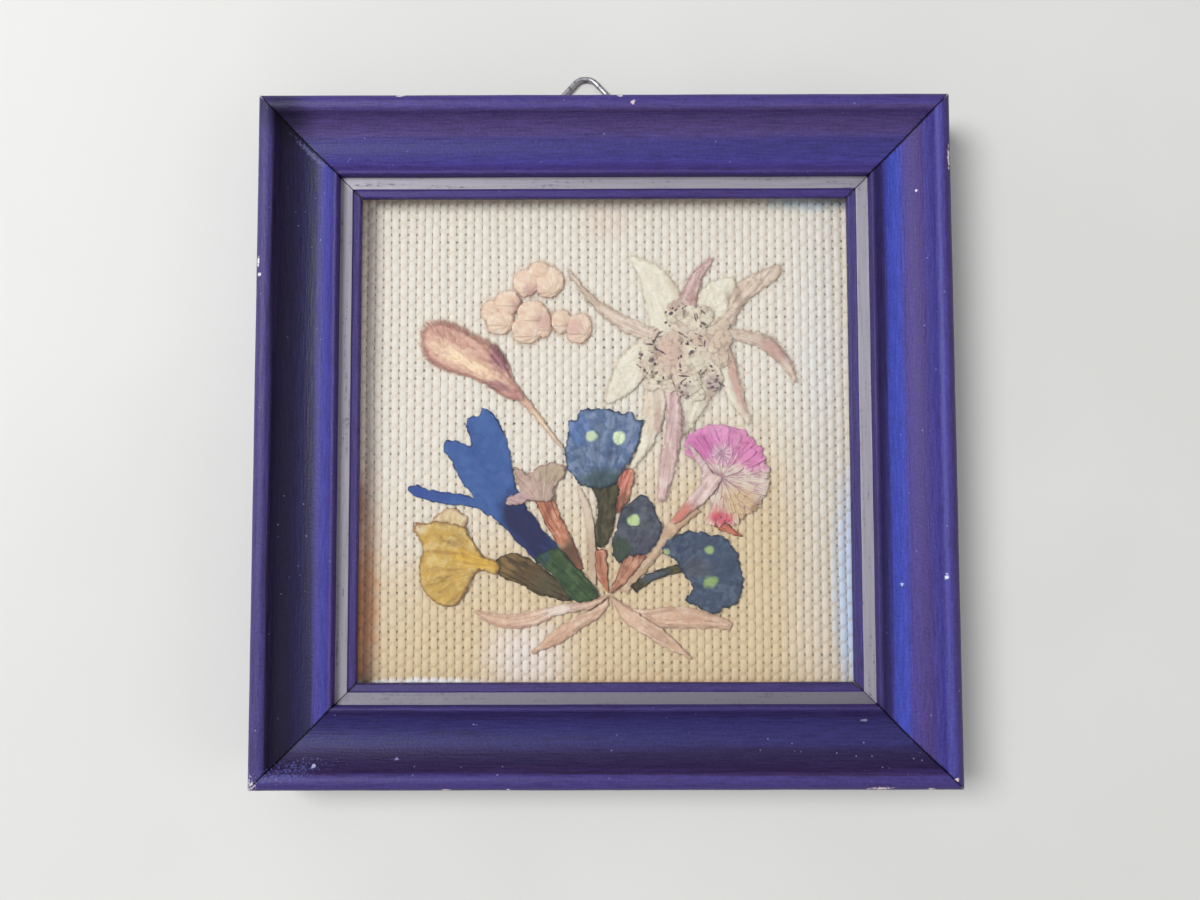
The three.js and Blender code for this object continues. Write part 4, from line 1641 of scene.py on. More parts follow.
    def dome(self, shape: bmesh.types.BMesh, head: Lobe, bed: Bed, chance: random.Random,
             fuzz: Fuzz) -> None:
        """Adds one lumpy head and roots hairs on it.

        Args:
            shape: The mesh that it goes into.
            head: Where it lies and its size.
            bed: What it lies on.
            chance: Seeded source of random numbers.
            fuzz: Where its hairs are gathered.
        """
        made = bmesh.ops.create_icosphere(shape, subdivisions=5, radius=1.0)
        for vert in made["verts"]:
            unit = vert.co.copy()
            x, y = head.x + unit.x * head.across, head.y + unit.y * head.up
            near = noise.voronoi(Vector((x, y, unit.z)) * self.lump_scale)[0][0]
            bulge = 1 + self.lumps * (0.42 - near)
            level = max(unit.z, -0.25) * bulge
            x, y = head.x + unit.x * head.across * bulge, head.y + unit.y * head.up * bulge
            z = bed.height(x, y) + 0.12 + self.height * head.rise * level
            vert.co = (x, y, min(z, GLASS_BACK - self.clearance))
            if (unit.z > 0.05 and chance.random() < self.hair_share
                    and len(fuzz.hairs) < self.hairs):
                way = Vector((chance.uniform(-1, 1) + unit.x, chance.uniform(-1, 1) + unit.y,
                              0.25))
                root = vert.co - Vector((0.0, 0.0, SLACK))
                fuzz.grow(root, way, chance.uniform(0.3, 0.75))

    def slivers(self, shape: bmesh.types.BMesh, chance: random.Random) -> None:
        """Lays the dark slivers on the heads, each with a smaller twin beside it.

        Args:
            shape: The heads' mesh, which they are joined to.
            chance: Seeded source of random numbers.
        """
        surface = KDTree(len(shape.verts))
        for i, vert in enumerate(shape.verts):
            if vert.co.z > LINEN_TOP + 0.3:
                surface.insert((vert.co.x, vert.co.y, 0.0), i)
        surface.balance()
        heights = [vert.co.z for vert in shape.verts]
        first = len(shape.faces)
        twins = [Speck(speck.x + chance.uniform(-0.9, 0.9), speck.y + chance.uniform(-0.9, 0.9),
                       speck.length * 0.6, speck.width * 0.7, speck.turn + chance.uniform(-50, 50))
                 for speck in self.specks]
        for speck in (*self.specks, *twins):
            near = surface.find_n((speck.x, speck.y, 0.0), 6)
            top = max(heights[i] for _, i, _ in near)
            place = (Matrix.Translation((speck.x, speck.y, min(top + SLACK, GLASS_BACK - 0.1)))
                     @ Matrix.Rotation(math.radians(speck.turn), 4, "Z")
                     @ Matrix.Diagonal((speck.length * 0.62, speck.width * 0.66, 0.08, 1.0)))
            bmesh.ops.create_icosphere(shape, subdivisions=2, radius=1.0, matrix=place)
        shape.faces.ensure_lookup_table()
        for face in shape.faces[first:]:
            face.material_index = 1

    def build(self, bed: Bed) -> None:
        """Builds the heads, the slivers and the wool, and hands them over.

        Args:
            bed: What the heads lie on.
        """
        bed.ready()
        chance = random.Random(11)
        shape = bmesh.new()
        fuzz = Fuzz(self.hair_radius)
        for head in self.heads:
            self.dome(shape, head, bed, chance, fuzz)
        self.slivers(shape, chance)
        fuzz.weave_into(shape, 2)
        finishes = [self.wool(), Plain("sliver", "5C4854", "84706A", 1.5).material(),
                    Plain("wool_hair", "EFE8D6", "DCCDB8").material()]
        hand_over(shape, Label("edelweiss_wool", "heads", ("edelweiss_heads",)), finishes, 70)

    def wool(self) -> bpy.types.Material:
        """Mixes cream wool, pinkish in the oldest head, with painted shade in brown between the
        lumps.

        Returns:
            The finished material.
        """
        bench = Bench("wool")
        lump = bench.cells(bench.place, self.lump_scale)
        cloud = bench.noise(bench.place, 0.5, 4)
        grain = bench.noise(bench.place, 5.0, 4)
        colour = bench.mix(bench.step(cloud, 0.42, 0.6) * 0.6, self.cream, self.tan)
        colour = bench.stained(colour, self.patches, cloud)
        # Painted shade in the valleys between the lumps.
        valley_shade = bench.step(lump + (grain - 0.5) * 0.4, 0.5, 0.85)
        colour = bench.mix(valley_shade * 0.55, colour, self.brown)
        colour = bench.scaled(colour, 0.8 + grain * 0.4)
        return bench.principled({
            "Base Color": colour,
            "Roughness": 0.9,
            "Specular IOR Level": 0.15,
            "Normal": bench.bump(grain, 0.1, 0.9),
        })


@dataclass(frozen=True)
class Everlasting:
    """A papery round head of two or three lobes, pleated towards its base, with a thin fringe and
    painted shade.
    """

    node: str
    lobes: tuple[Lobe, ...]
    turn: float
    height: float = 0.72
    pleats: float = 6.5
    fringe: float = 0.85
    fringe_share: float = 0.5
    hair_radius: float = 0.03
    clearance: float = 0.06

    def add_lobe(self, shape: bmesh.types.BMesh, k: int, bed: Bed, chance: random.Random,
                 fuzz: Fuzz) -> None:
        """Adds one pleated lobe and roots the fringe along its edge.

        Args:
            shape: The mesh that it goes into.
            k: The lobe's number.
            bed: What it lies on.
            chance: Seeded source of random numbers.
            fuzz: Where the fringe's hairs are gathered.
        """
        lobe, lean = self.lobes[k], math.radians(self.turn)
        rim_layer = shape.verts.layers.float["rim"]
        vein_layer = shape.verts.layers.float_vector["veins"]
        base = Vector((math.cos(lean), math.sin(lean))) * 0.8
        made = bmesh.ops.create_icosphere(shape, subdivisions=5, radius=1.0)
        for vert in made["verts"]:
            unit = vert.co.copy()
            away = Vector((unit.x, unit.y)) - base
            spread = math.atan2(away.y, away.x)
            pleat = noise.noise(Vector((spread * self.pleats / 3, away.length * 0.7, k * 9.0)))
            ruffle = noise.noise(Vector((unit.x, unit.y, k)) * 2.4)
            frill = noise.noise(Vector((unit.x, unit.y, k + 4.0)) * 7.0)
            bulge = 1 + 0.05 * pleat + 0.10 * ruffle + 0.05 * frill
            x, y = lobe.x + unit.x * lobe.across * bulge, lobe.y + unit.y * lobe.up * bulge
            level = math.copysign(abs(unit.z) ** 0.7, unit.z) + 0.14 * pleat * max(unit.z, 0.0)
            z = bed.height(x, y) + 0.06 + self.height * lobe.rise * max(level, -0.05)
            vert.co = (x, y, min(z, GLASS_BACK - self.clearance))
            # Low on the lobe counts as rim, which the skin darkens: painted shade at each lobe's
            # foot and in the seams.
            vert[rim_layer] = max(unit.z, 0.0) * 1.2
            vert[vein_layer] = (spread * 2.2, away.length * 2.0, k * 5.0)
            if 0.0 < unit.z < 0.22 and chance.random() < self.fringe_share:
                way = Vector((unit.x + chance.uniform(-0.6, 0.6),
                              unit.y + chance.uniform(-0.6, 0.6), 0.15))
                fuzz.grow(vert.co - way * 0.15, way, self.fringe * chance.uniform(0.5, 1.3))

    def build(self, bed: Bed) -> None:
        """Builds the lobes and their fringe, and hands them over.

        Args:
            bed: What the head lies on, which it then adds to.
        """
        bed.ready()
        shape = bmesh.new()
        shape.verts.layers.float.new("rim")
        shape.verts.layers.float_vector.new("veins")
        chance = random.Random(self.node)
        fuzz = Fuzz(self.hair_radius)
        for k in range(len(self.lobes)):
            self.add_lobe(shape, k, bed, chance, fuzz)
        for vert in shape.verts:
            if vert.co.z > LINEN_TOP + 0.3:
                bed.settle(vert.co.x, vert.co.y, vert.co.z)
        fuzz.weave_into(shape, 0)
        lean, first = math.radians(self.turn), self.lobes[0]
        # Painted shade on the head's lower right side.
        painted_shade = Patch(first.x + math.cos(lean) * 2.4, first.y + math.sin(lean) * 2.0, 3.0, 3.0,
                      "C89690", 0, 0.7, 0.3, 0.6)
        petal = Petal("E4C4A8", "D6A98E", "EEDCC6", "B58E8A", 0.24, 0.3, 2.0, 0.6, 0.75, (painted_shade,),
                      edge=0.6)
        hand_over(shape, Label(f"{self.node}_papery", "everlasting", (self.node,)),
                  [petal.material(f"{self.node}_skin")], 80)


@dataclass
class RayFlower:
    """The pink flower's narrow ray petals, in rings that spread from its hub."""

    hub: Point = (20.6, -6.9)
    whorl: Point = (20.7, -2.8)
    whorl_count: int = 22
    start: float = -100.0
    end: float = 138.0
    rings: tuple[tuple[int, float, float], ...] = ((40, 8.6, 1.35), (34, 6.6, 1.2), (24, 4.4, 1.0))
    thickness: float = 0.05
    clearance: float = 0.1

    def ray(self, shape: bmesh.types.BMesh, hub: Point, angle: float, length: float,
            width: float, level: float, bed: Bed, chance: random.Random) -> None:
        """Adds one ray petal.

        Args:
            shape: The mesh that it goes into.
            hub: Where it starts.
            angle: Its direction, in radians.
            length: Its length from the hub.
            width: Its width near the tip.
            level: Its height above what it lies on.
            bed: What it lies on.
            chance: Seeded source of random numbers.
        """
        rim_layer = shape.verts.layers.float["rim"]
        vein_layer = shape.verts.layers.float_vector["veins"]
        made = bmesh.ops.create_grid(shape, x_segments=10, y_segments=4, size=0.5)
        ahead = Vector((math.cos(angle), math.sin(angle)))
        side = Vector((-ahead.y, ahead.x))
        notch = [chance.uniform(0.0, 0.09) for _ in range(5)]
        sway, twist = chance.uniform(-0.22, 0.22), chance.uniform(-0.2, 0.2)
        for vert in made["verts"]:
            share, across = vert.co.x + 0.5, vert.co.y * 2
            broad = width * (0.22 + 0.78 * ease(share * 1.15)) / 2
            reach = length * share * (1 - notch[min(int((across + 1) * 2.49), 4)] * share ** 3)
            middle = ahead * reach + side * (sway * length * share * share + across * broad)
            x, y = hub[0] + middle.x, hub[1] + middle.y
            groove = 0.05 * across * across + twist * across * share
            z = bed.height(x, y) + level + max(groove, -0.04)
            vert.co = (x, y, min(z, GLASS_BACK - self.clearance))
            vert[rim_layer] = (1 - abs(across)) * broad
            vert[vein_layer] = (across * 2.4, reach, notch[0] * 300)

    def build(self, bed: Bed) -> None:
        """Builds every ring of rays and the whorl, and hands them over.

        Args:
            bed: What they lie on, which they then add to.
        """
        bed.ready()
        chance = random.Random(23)
        shape = bmesh.new()
        shape.verts.layers.float.new("rim")
        shape.verts.layers.float_vector.new("veins")
        for k, (count, length, width) in enumerate(self.rings):
            for i in range(count):
                turn = self.start + (self.end - self.start) * (i + chance.uniform(0.2, 0.8)) / count
                size = length * chance.uniform(0.82, 1.06)
                self.ray(shape, self.hub, math.radians(turn), size,
                         width * chance.uniform(0.8, 1.25), 0.04 + 0.07 * k + 0.04 * (i % 3), bed,
                         chance)
        for i in range(self.whorl_count):
            turn = math.radians(360 * (i + chance.uniform(0, 0.7)) / self.whorl_count)
            self.ray(shape, self.whorl, turn, chance.uniform(1.3, 2.7), 0.9,
                     0.24 + 0.04 * (i % 3), bed, chance)
        bmesh.ops.recalc_face_normals(shape, faces=shape.faces)
        bmesh.ops.solidify(shape, geom=shape.faces[:], thickness=self.thickness)
        for vert in shape.verts:
            bed.settle(vert.co.x, vert.co.y, vert.co.z)
        hand_over(shape, Label("pink_rays", "pink_petal"), [PINK_RAYS.material("ray_skin")], 80)


# ---- What was pressed ----

CREAM = Petal("E6DCC6", "D4C4AC", "EEE6D6", "C9B79E", 0.45, 0.3, 1.2, 0.6, edge=0.35)
TAN = Petal("DCC6B0", "B89E8C", "EADBCA", "A88C7C", 0.4, 0.5, 1.3, 0.6, edge=0.4)
MAUVE = Petal("DABAB0", "AE8A84", "EAD4CA", "98726E", 0.35, 0.55, 1.3, 0.6, edge=0.5)
BASE_LEAF = Petal("D6B094", "B48A70", "E6CCB4", "9C7660", 0.4, 0.6, 1.1, 0.65, edge=0.4)
ORANGE = Petal("C07A5A", "7E4634", "DDA88A", "6A3C30", 0.35, 0.75, 1.5, 0.55)
OLIVE = Petal("443F27", "242218", "6E6440", "242018", 0.35, 0.75, 1.5, 0.45)
SLATE = Petal("586C8C", "39465E", "8692AA", "262D3C", 0.45, 0.4, 1.1, 0.75)
PINK_RAYS = Petal("DFC9B6", "C99AA0", "EADFCB", "A8608A", 0.16, 0.5, 2.0, 0.6, 0.72, (
    Patch(19.0, 0.2, 15.0, 8.4, "E294BE", -12, 0.45, 0.6),
    Patch(26.6, -2.6, 6.6, 6.4, "DE86B2", -40, 0.5, 0.7),
    Patch(17.2, -1.6, 5.0, 4.8, "D46EAA", 30, 0.6, 0.7, 0.85),
    Patch(24.8, 0.8, 4.0, 3.0, "DA76AE", -30, 0.6, 0.7, 0.7),
    Patch(20.8, -2.7, 3.4, 3.0, "DFC3C6", 0, 0.5, 0.7, 0.85),
    Patch(24.4, -12.2, 8.0, 6.0, "D9BC84", -35, 0.5, 0.5, 0.9),
    Patch(20.4, -13.6, 4.4, 3.6, "DDB99A", 0, 0.5, 0.5, 0.7),
    Patch(20.6, -14.3, 4.4, 2.6, "D8525F", -20, 0.45, 0.9, 0.95),
    Patch(26.8, -12.2, 1.3, 3.2, "96724E", -40, 0.6, 0.8, 0.7),
), edge=0.5)

FOOT: Point = (0.7, -27.4)
FLAT = Relief(0.12, 0.06, 1.0, 0.16, 0.16, 0.14)
RIBBED = Relief(0.12, 0.26, 0.5, 0.22, 0.22, 0.16)
RUFFLED = Relief(0.24, 0.14, 0.8, 0.42, 0.38, 0.13)


def shaded(petal: Petal, *patches: Patch, **changes: object) -> Petal:
    """A finish like another, with patches of its own and whatever else changes."""
    return replace(petal, patches=patches, **changes)


def spread(x: float, y: float, turn: float) -> Veins:
    """Veins that spread from a point in a direction."""
    return Veins(Run.SPREAD, turn, x, y)


@dataclass
class Posy:
    """Every pressed specimen, laid on the linen one over another."""

    everlastings: tuple[Everlasting, ...] = (
        Everlasting("everlasting_top", (
            Lobe(-14.1, 28.0, 2.3, 2.4), Lobe(-9.9, 28.2, 2.5, 2.8), Lobe(-11.6, 30.2, 2.1, 1.6),
        ), -60),
        Everlasting("everlasting_left", (
            Lobe(-17.4, 24.4, 2.3, 2.2), Lobe(-18.7, 20.9, 2.4, 2.2),
            Lobe(-20.4, 22.9, 1.6, 1.9, 0.8),
        ), -20),
        Everlasting("everlasting_middle", (
            Lobe(-12.9, 22.4, 2.7, 2.4), Lobe(-13.8, 19.6, 2.7, 2.5),
            Lobe(-10.9, 20.6, 1.5, 2.5, 0.85),
        ), -40),
        Everlasting("everlasting_right", (
            Lobe(-7.7, 21.0, 1.8, 2.1), Lobe(-4.6, 19.8, 2.3, 2.7),
        ), -30),
    )

    def edelweiss_bracts(self) -> list[Pressing]:
        """Lists the edelweiss's long felted bracts.

        Returns:
            What to press.
        """
        # Darker patches on the bracts' right-hand sides, in a crumple and beside the heads are
        # painted shade.
        looks = [
            (shaded(CREAM, Patch(12.8, 27.0, 2.0, 7.0, "D3BFA6", 25, 0.7, 0.4, 0.6)),
             spread(13.0, 19.0, 115), FLAT, "cream_bract"),
            (shaded(MAUVE, Patch(16.2, 25.0, 2.4, 4.0, "B08078", 20, 0.5, 0.5, 0.6)),
             Veins(), RIBBED, "mauve_leaf"),
            (shaded(CREAM, Patch(22.6, 24.4, 1.4, 5.0, "A99A84", 15, 0.6, 0.6, 0.7)),
             spread(16.5, 20.0, 50), FLAT, "cream_bract"),
            (shaded(TAN, Patch(24.0, 25.6, 1.6, 6.0, "A98E78", 20, 0.6, 0.5, 0.6)),
             Veins(Run.STRAIGHT, 50), RIBBED, "tan_leaf"),
            (shaded(TAN, Patch(30.5, 15.6, 6.0, 3.0, "C0948A", -35, 0.6, 0.4, 0.8)),
             Veins(), RIBBED, "tan_leaf"),
            (shaded(CREAM, Patch(23.3, 11.0, 1.9, 14.0, "CB9F90", 14, 0.4, 0.4, 0.85),
                    Patch(22.6, 17.0, 3.0, 2.4, "8F7A70", 0, 0.6, 0.6, 0.7)),
             Veins(Run.STRAIGHT, 104), RIBBED, "cream_bract"),
            (shaded(TAN, Patch(-2.0, 25.0, 5.0, 3.0, "BFA890", -40, 0.8, 0.4, 0.6)),
             Veins(), RIBBED, "tan_leaf"),
            (shaded(CREAM, Patch(6.6, 9.6, 1.4, 5.0, "BBA890", -30, 0.7, 0.4, 0.5)),
             spread(8.4, 17.0, 238), FLAT, "cream_bract"),
            (shaded(CREAM, Patch(9.6, 3.0, 1.6, 12.0, "C09A8C", 5, 0.5, 0.5, 0.7),
                    Patch(7.8, 4.6, 1.4, 9.0, "D8BFA6", 5, 0.6, 0.5, 0.6), streaks=0.55),
             Veins(Run.STRAIGHT, 78), RIBBED, "cream_bract"),
            (shaded(MAUVE, Patch(12.2, 2.0, 1.1, 16.0, "C4A2A6", 2, 0.6, 0.6, 0.5),
                    Patch(11.4, -4.0, 2.4, 6.0, "DEC0B4", 0, 0.7, 0.5, 0.6)),
             Veins(Run.STRAIGHT, 84), RIBBED, "mauve_leaf"),
            (shaded(CREAM, Patch(13.8, 3.2, 2.0, 6.0, "A88F86", 15, 0.6, 0.5, 0.7),
                    Patch(18.8, 8.0, 2.0, 4.6, "B89C8C", -25, 0.6, 0.5, 0.7), streaks=0.5),
             spread(14.4, 0.0, 70), RUFFLED, "cream_bract"),
        ]
        return [Pressing(f"edelweiss_bract_{i + 1}", slot, petal, veins, relief, Felt(700, 0.7))
                for i, (petal, veins, relief, slot) in enumerate(looks)]

    def left_hand_flowers(self) -> list[Pressing]:
        """Lists the grass, gentian, primroses and small mauve flower.

        Returns:
            What to press.
        """
        gentian = Petal("3A5890", "2C4680", "4C6CA2", "202E56", 0.3, 0.3, 1.0, 0.4, 0.78, (
            Patch(-12.4, -16.4, 9.0, 16.0, "1B1D46", 38, 0.22, 0.2, 1.0),
            Patch(-30.6, -9.6, 11.0, 3.2, "2F4488", 0, 0.5, 0.3, 0.7)))
        calyx = Petal("364A28", "1C2C18", "5A7044", "1A2A18", 0.3, 0.75, 1.6, 0.5, 0.78, (
            Patch(-11.2, -21.4, 2.6, 3.6, "2E4A4E", -40, 0.5, 0.4, 0.8),))
        primrose = Petal("C69F50", "A67F42", "DCC282", "8A6038", 0.6, 0.5, 0.9, 0.6, 0.8, (
            Patch(-33.0, -15.6, 3.4, 2.4, "D9C49A", 0, 0.5, 0.5, 0.9),
            Patch(-23.0, -21.6, 8.0, 2.8, "E0B03C", -20, 0.6, 0.4, 0.8),
            Patch(-28.0, -20.2, 7.0, 0.7, "A67C3C", -4, 0.6, 0.8, 0.7),
            Patch(-28.6, -26.6, 7.0, 4.6, "C09A48", 0, 0.6, 0.5, 0.6)))
        back = Petal("D8BE92", "B8966A", "E8D6B4", "A87E5A", 0.5, 0.4, 1.6, 0.4)
        brown = Petal("5E4728", "322616", "7E6842", "2A2418", 0.35, 0.75, 1.4, 0.5, 0.8, (
            Patch(-17.6, -22.4, 4.4, 3.6, "8E7142", 0, 0.6, 0.4, 0.7),
            Patch(-10.0, -26.4, 6.0, 4.0, "4E4A34", -35, 0.6, 0.4, 0.7)))
        mauve = Petal("BD9E8C", "93706A", "D4BEAA", "8A665E", 0.35, 0.45, 1.8, 0.5, 0.8, (
            Patch(-9.4, -6.4, 5.0, 3.6, "B3A182", 0, 0.5, 0.4, 0.8),
            Patch(-15.4, -10.6, 4.4, 2.0, "C3A0A4", 0, 0.5, 0.4, 0.7)))
        tube = shaded(ORANGE, Patch(-5.6, -20.6, 4.6, 7.4, "4E4028", -25, 0.5, 0.4, 0.9),
                      Patch(-10.2, -13.4, 1.0, 6.0, "8A5040", -20, 0.6, 0.5, 0.7))
        grass = Petal("D6AA98", "C2877C", "E6C2A8", "D09E92", 0.5, 0.45, 2.0, 0.6, 0.82, (
            Patch(-25.2, 14.0, 13.0, 2.8, "FAE4C0", -30, 0.7, 0.4, 0.95),
            Patch(-18.9, 14.4, 3.0, 4.2, "96606E", 35, 0.6, 0.6, 0.9),
            Patch(-17.4, 12.2, 0.5, 3.4, "7A5058", 28, 0.6, 0.3, 0.9),
            Patch(-19.0, 9.4, 4.6, 1.6, "9E6670", -20, 0.5, 0.6, 0.75),
            Patch(-14.9, 8.2, 2.4, 2.4, "AE747A", -30, 0.5, 0.5, 0.7)))
        stem = shaded(TAN, Patch(-14.0, 6.4, 3.6, 3.0, "CE9A88", -45, 0.6, 0.4, 0.7),
                      ground="E2C19C", pale="F0DABA")
        return [
            Pressing("grass_head", "grass", grass, spread(-12.0, 5.0, 148), RIBBED,
                     Felt(5200, 1.0, 0.028, (-16.2, 8.6), (-30.6, 16.8), 0.3, 0.2)),
            Pressing("grass_stem", "tan_leaf", stem, Veins(), RIBBED),
            Pressing("gentian_flower", "gentian", gentian, spread(-6.0, -24.0, 125),
                     Relief(0.10, 0.03, 1.2, 0.06, 0.26, 0.14)),
            Pressing("gentian_calyx", "calyx_green", calyx, Veins(Run.STRAIGHT, -45), RIBBED),
            Pressing("primrose_back_petal", "tan_leaf", back, spread(-28, -20, 90), RUFFLED),
            Pressing("primrose_petals", "primrose", primrose, spread(-19, -22.6, 165), RUFFLED),
            Pressing("primrose_calyx", "calyx_brown", brown, Veins(Run.STRAIGHT, -28), RIBBED),
            Pressing("primula_petals", "mauve_leaf", mauve, spread(-11, -12, 105), RUFFLED),
            Pressing("primula_tube", "orange_stem", tube, Veins(), RIBBED),
            Pressing("pale_leaf", "tan_leaf",
                     shaded(TAN, Patch(-2.4, -21.0, 3.2, 10.0, "B58E66", 0, 0.7, 0.4, 0.75),
                            ground="E4D0B0", pale="F0E2C8"), Veins(), FLAT),
        ]

    def blue_flowers(self) -> list[Pressing]:
        """Lists the three dusty blue flowers with their tubes and stems.

        Returns:
            What to press.
        """
        eye, dim, glow = "B8C88E", "C2D0AC", "DAE6BC"
        top = shaded(SLATE, Patch(0.0, -7.6, 9.0, 4.4, "3A4C44", 0, 0.5, 0.4, 0.85),
                     Patch(-4.6, 1.4, 4.0, 5.0, "5B7AB4", 0, 0.6, 0.5, 0.6),
                     Patch(0.8, -3.0, 2.0, 2.0, "46466A", 0, 0.6, 0.4, 0.5),
                     marks=(Patch(-2.4, 0.3, 1.9, 1.9, dim, 0, 0.3, 0.6),
                            Patch(2.6, 0.1, 2.2, 2.3, glow, 0, 0.2, 0.5)))
        middle = shaded(SLATE, Patch(2.8, -20.0, 4.2, 4.6, "39452F", 0, 0.4, 0.4, 0.9),
                        Patch(7.4, -18.6, 4.0, 3.6, "46404E", 0, 0.6, 0.4, 0.6),
                        marks=(Patch(5.2, -14.5, 2.2, 2.1, eye, 0, 0.2, 0.6),), ground="464954",
                        streak="30323A", pale="666870")
        right = shaded(SLATE, Patch(16.4, -23.0, 6.0, 3.4, "5C5A5C", 0, 0.6, 0.5, 0.6),
                       Patch(21.4, -21.6, 5.0, 7.0, "3B485E", 0, 0.6, 0.4, 0.6),
                       Patch(13.4, -19.6, 1.6, 1.4, "3C3E66", 0, 0.5, 0.5, 0.7), ground="404B5E",
                       streak="2C3444", pale="5C687C",
                       marks=(Patch(10.8, -20.2, 1.3, 1.2, eye, 0, 0.3, 0.5, 0.8),
                              Patch(18.5, -19.9, 1.45, 1.35, "98AC70", 0, 0.45, 0.9),
                              Patch(18.6, -25.5, 2.15, 2.1, "8DA466", 0, 0.45, 0.9)))
        reddish = shaded(ORANGE, Patch(0.0, -21.0, 1.0, 5.0, "E0A888", 0, 0.6, 0.5, 0.6))
        return [
            Pressing("blue_flower_top", "slate_petal", top, spread(0, -12, 90), RUFFLED),
            Pressing("blue_flower_top_tube", "olive", OLIVE, Veins(Run.STRAIGHT, 88), RIBBED),
            Pressing("blue_flower_top_stem", "orange_stem", reddish, Veins(), RIBBED, root=FOOT),
            Pressing("red_leaf", "orange_stem",
                     shaded(ORANGE, Patch(3.0, -7.2, 3.2, 5.0, "E08A76", 0, 0.6, 0.4, 0.9)),
                     Veins(Run.STRAIGHT, 70), RUFFLED),
            Pressing("blue_flower_middle", "slate_petal", middle, spread(3, -24, 70), RUFFLED),
            Pressing("blue_flower_middle_stem", "orange_stem", shaded(ORANGE, ground="B07A60"),
                     Veins(Run.STRAIGHT, 62), RIBBED, root=FOOT),
            Pressing("blue_flower_right", "slate_petal", right, spread(12, -24, 5), RUFFLED),
            Pressing("blue_flower_right_stem", "olive",
                     shaded(OLIVE, Patch(8.6, -24.0, 5.0, 3.0, "525C68", 0, 0.6, 0.4, 0.85)),
                     Veins(), RIBBED),
        ]

    def pink_flower_parts(self) -> list[Pressing]:
        """Lists the pink flower's disc, stalk and tail, and the stem beside it.

        Returns:
            What to press.
        """
        stalk = shaded(MAUVE, Patch(13.6, -13.8, 4.6, 5.0, "C56A52", -40, 0.5, 0.5, 0.85),
                       Patch(16.4, -3.0, 2.4, 5.0, "D0AEB4", 30, 0.6, 0.4, 0.7))
        return [
            Pressing("pink_flower", "pink_petal", PINK_RAYS, spread(20.6, -6.9, 20), RUFFLED),
            Pressing("pink_flower_stalk", "mauve_leaf", stalk, Veins(Run.STRAIGHT, 50), RIBBED),
            Pressing("pink_flower_tail", "orange_stem", shaded(ORANGE, ground="CC7258"),
                     Veins(), RIBBED),
            Pressing("tan_stem", "tan_leaf", shaded(TAN, ground="C4A07E", pale="DCC2A4"), Veins(),
                     RIBBED),
        ]

    def base_leaves(self) -> list[Pressing]:
        """Lists the tan leaves that spread at the foot.

        Returns:
            What to press.
        """
        stains = (
            (Patch(-7.0, -30.6, 7.0, 2.6, "E9DAD0", 0, 0.7, 0.4, 0.7),),
            (Patch(-9.0, -35.0, 6.0, 3.0, "CC9C7E", 35, 0.7, 0.4, 0.6),),
            (),
            (Patch(16.0, -32.0, 8.0, 3.0, "C69A7C", 0, 0.7, 0.4, 0.5),),
        )
        return [Pressing(f"base_leaf_{i}", "tan_leaf", shaded(BASE_LEAF, *patches), Veins(), RIBBED,
                         root=FOOT) for i, patches in enumerate(stains, 1)]

    def build(self) -> None:
        """Presses every flat piece, lowest first, and then the round heads."""
        bed = Bed()
        pressings = (self.edelweiss_bracts() + self.left_hand_flowers() + self.blue_flowers()
                     + self.pink_flower_parts() + self.base_leaves())
        pressings.sort(key=lambda one: (round(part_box(one.node)[0].z, 6), one.node))
        for pressing in pressings:
            pressing.build(bed)
            if pressing.node == "pink_flower":
                RayFlower().build(bed)
        for head in self.everlastings:
            head.build(bed)
        EdelweissHeads().build(bed)


# ---- Studio ----


@dataclass(frozen=True)
class Lamp:
    """A round soft light: its place and width in metres, its power in watts and its colour."""

    name: str
    place: tuple[float, float, float]
    width: float
    power: float
    colour: tuple[float, float, float]

    def hang(self) -> None:
        """Puts the light in the scene, turned to the origin."""
        light = bpy.data.lights.new(self.name, "AREA")
        light.shape = "DISK"
        light.size = self.width
        light.energy = self.power
        light.color = self.colour
        lamp = bpy.data.objects.new(self.name, light)
        lamp.location = self.place
        lamp.rotation_euler = (-Vector(self.place)).to_track_quat("-Z", "Y").to_euler()
        bpy.context.scene.collection.objects.link(lamp)


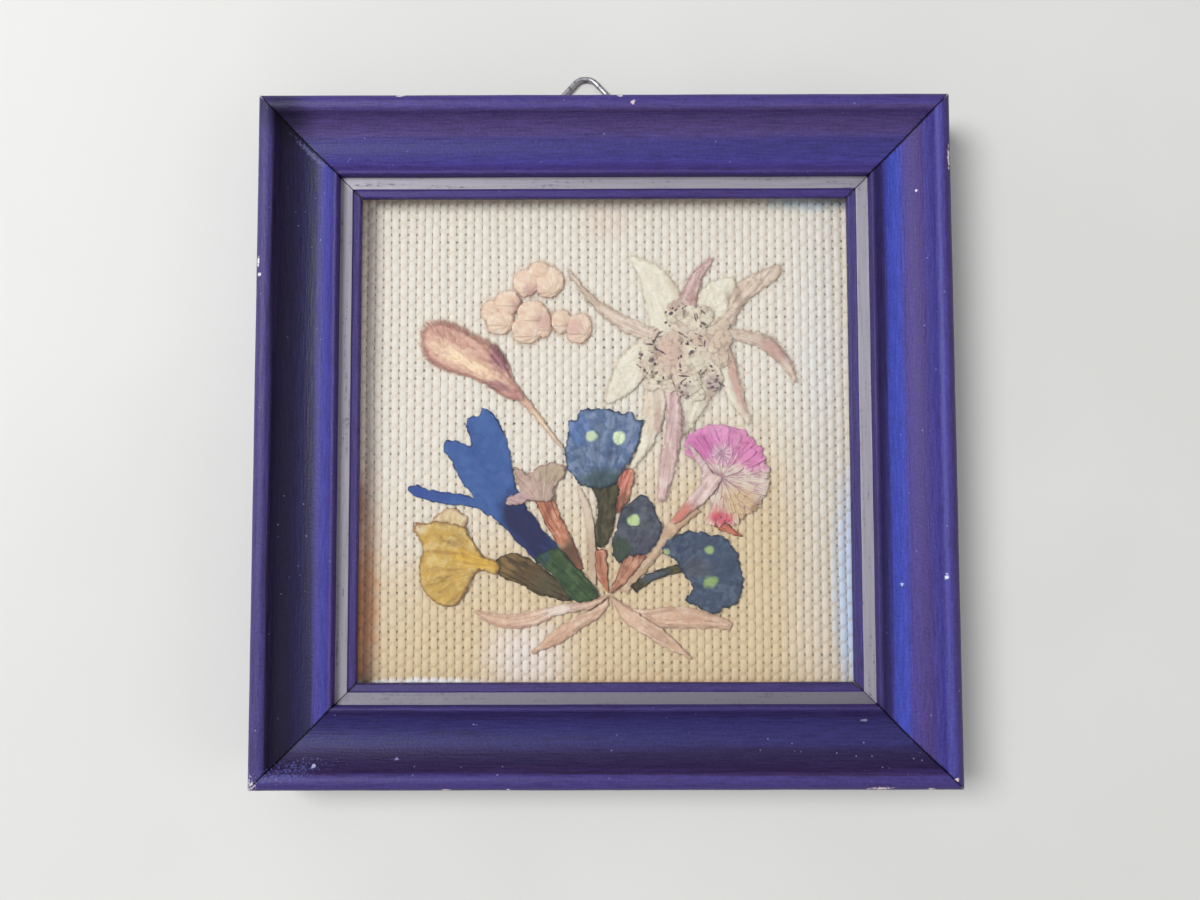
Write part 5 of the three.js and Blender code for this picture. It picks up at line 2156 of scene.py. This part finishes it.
@dataclass
class Studio:
    """Camera close above the frame, pale floor and soft light."""

    lens: float = 27.0
    sensor: float = 36.0
    nearest: float = 0.01
    place: tuple[float, float, float] = (-0.56, -10.23, 165.94)
    turn: tuple[float, float, float] = (2.911, 0.104, -0.132)
    floor_radius: float = 3.0
    sky_colour: Colour = (0.86, 0.92, 1.0, 1.0)
    sky_strength: float = 0.43
    lamps: tuple[Lamp, ...] = (
        Lamp("window", (-0.44, 0.16, 0.70), 0.40, 6.15, (0.94, 0.97, 1.0)),
        Lamp("bounce", (0.70, -0.20, 0.45), 0.6, 0.9, (1.0, 0.93, 0.84)),
    )

    def set_camera(self) -> None:
        """Places the scene's camera."""
        camera = bpy.data.cameras.new("camera")
        camera.lens = self.lens
        camera.sensor_width = self.sensor
        camera.clip_start = self.nearest
        holder = bpy.data.objects.new("camera", camera)
        holder.location = Vector(self.place) * MM
        holder.rotation_euler = [math.radians(angle) for angle in self.turn]
        bpy.context.scene.collection.objects.link(holder)
        bpy.context.scene.camera = holder

    def lay_floor(self) -> None:
        shape = bmesh.new()
        bmesh.ops.create_circle(shape, cap_ends=True, radius=self.floor_radius, segments=64)
        mesh = bpy.data.meshes.new("floor")
        shape.to_mesh(mesh)
        shape.free()
        mesh.materials.append(Plain("floor", "DAD7D0", "DEDBD4", 0.01).material())
        floor = bpy.data.objects.new("floor", mesh)
        bpy.context.scene.collection.objects.link(floor)

    def build(self) -> None:
        """Sets up the camera, the floor, the sky and the lamps."""
        self.set_camera()
        self.lay_floor()
        world = bpy.data.worlds.new("sky")
        world.use_nodes = True
        sky = world.node_tree.nodes["Background"]
        sky.inputs["Color"].default_value = self.sky_colour
        sky.inputs["Strength"].default_value = self.sky_strength
        bpy.context.scene.world = world
        for lamp in self.lamps:
            lamp.hang()
        bpy.context.scene.view_settings.view_transform = "Standard"


def main() -> None:
    """Builds the studio, the frame, the cloth and the flowers, in that order."""
    logging.basicConfig(level=logging.INFO, format="%(message)s")
    noise.seed_set(NOISE_SEED)
    for part in (Studio(), Moulding(), Backing(), Hanger(), Weave(), Posy()):
        part.build()


if __name__ == "__main__":
    main()
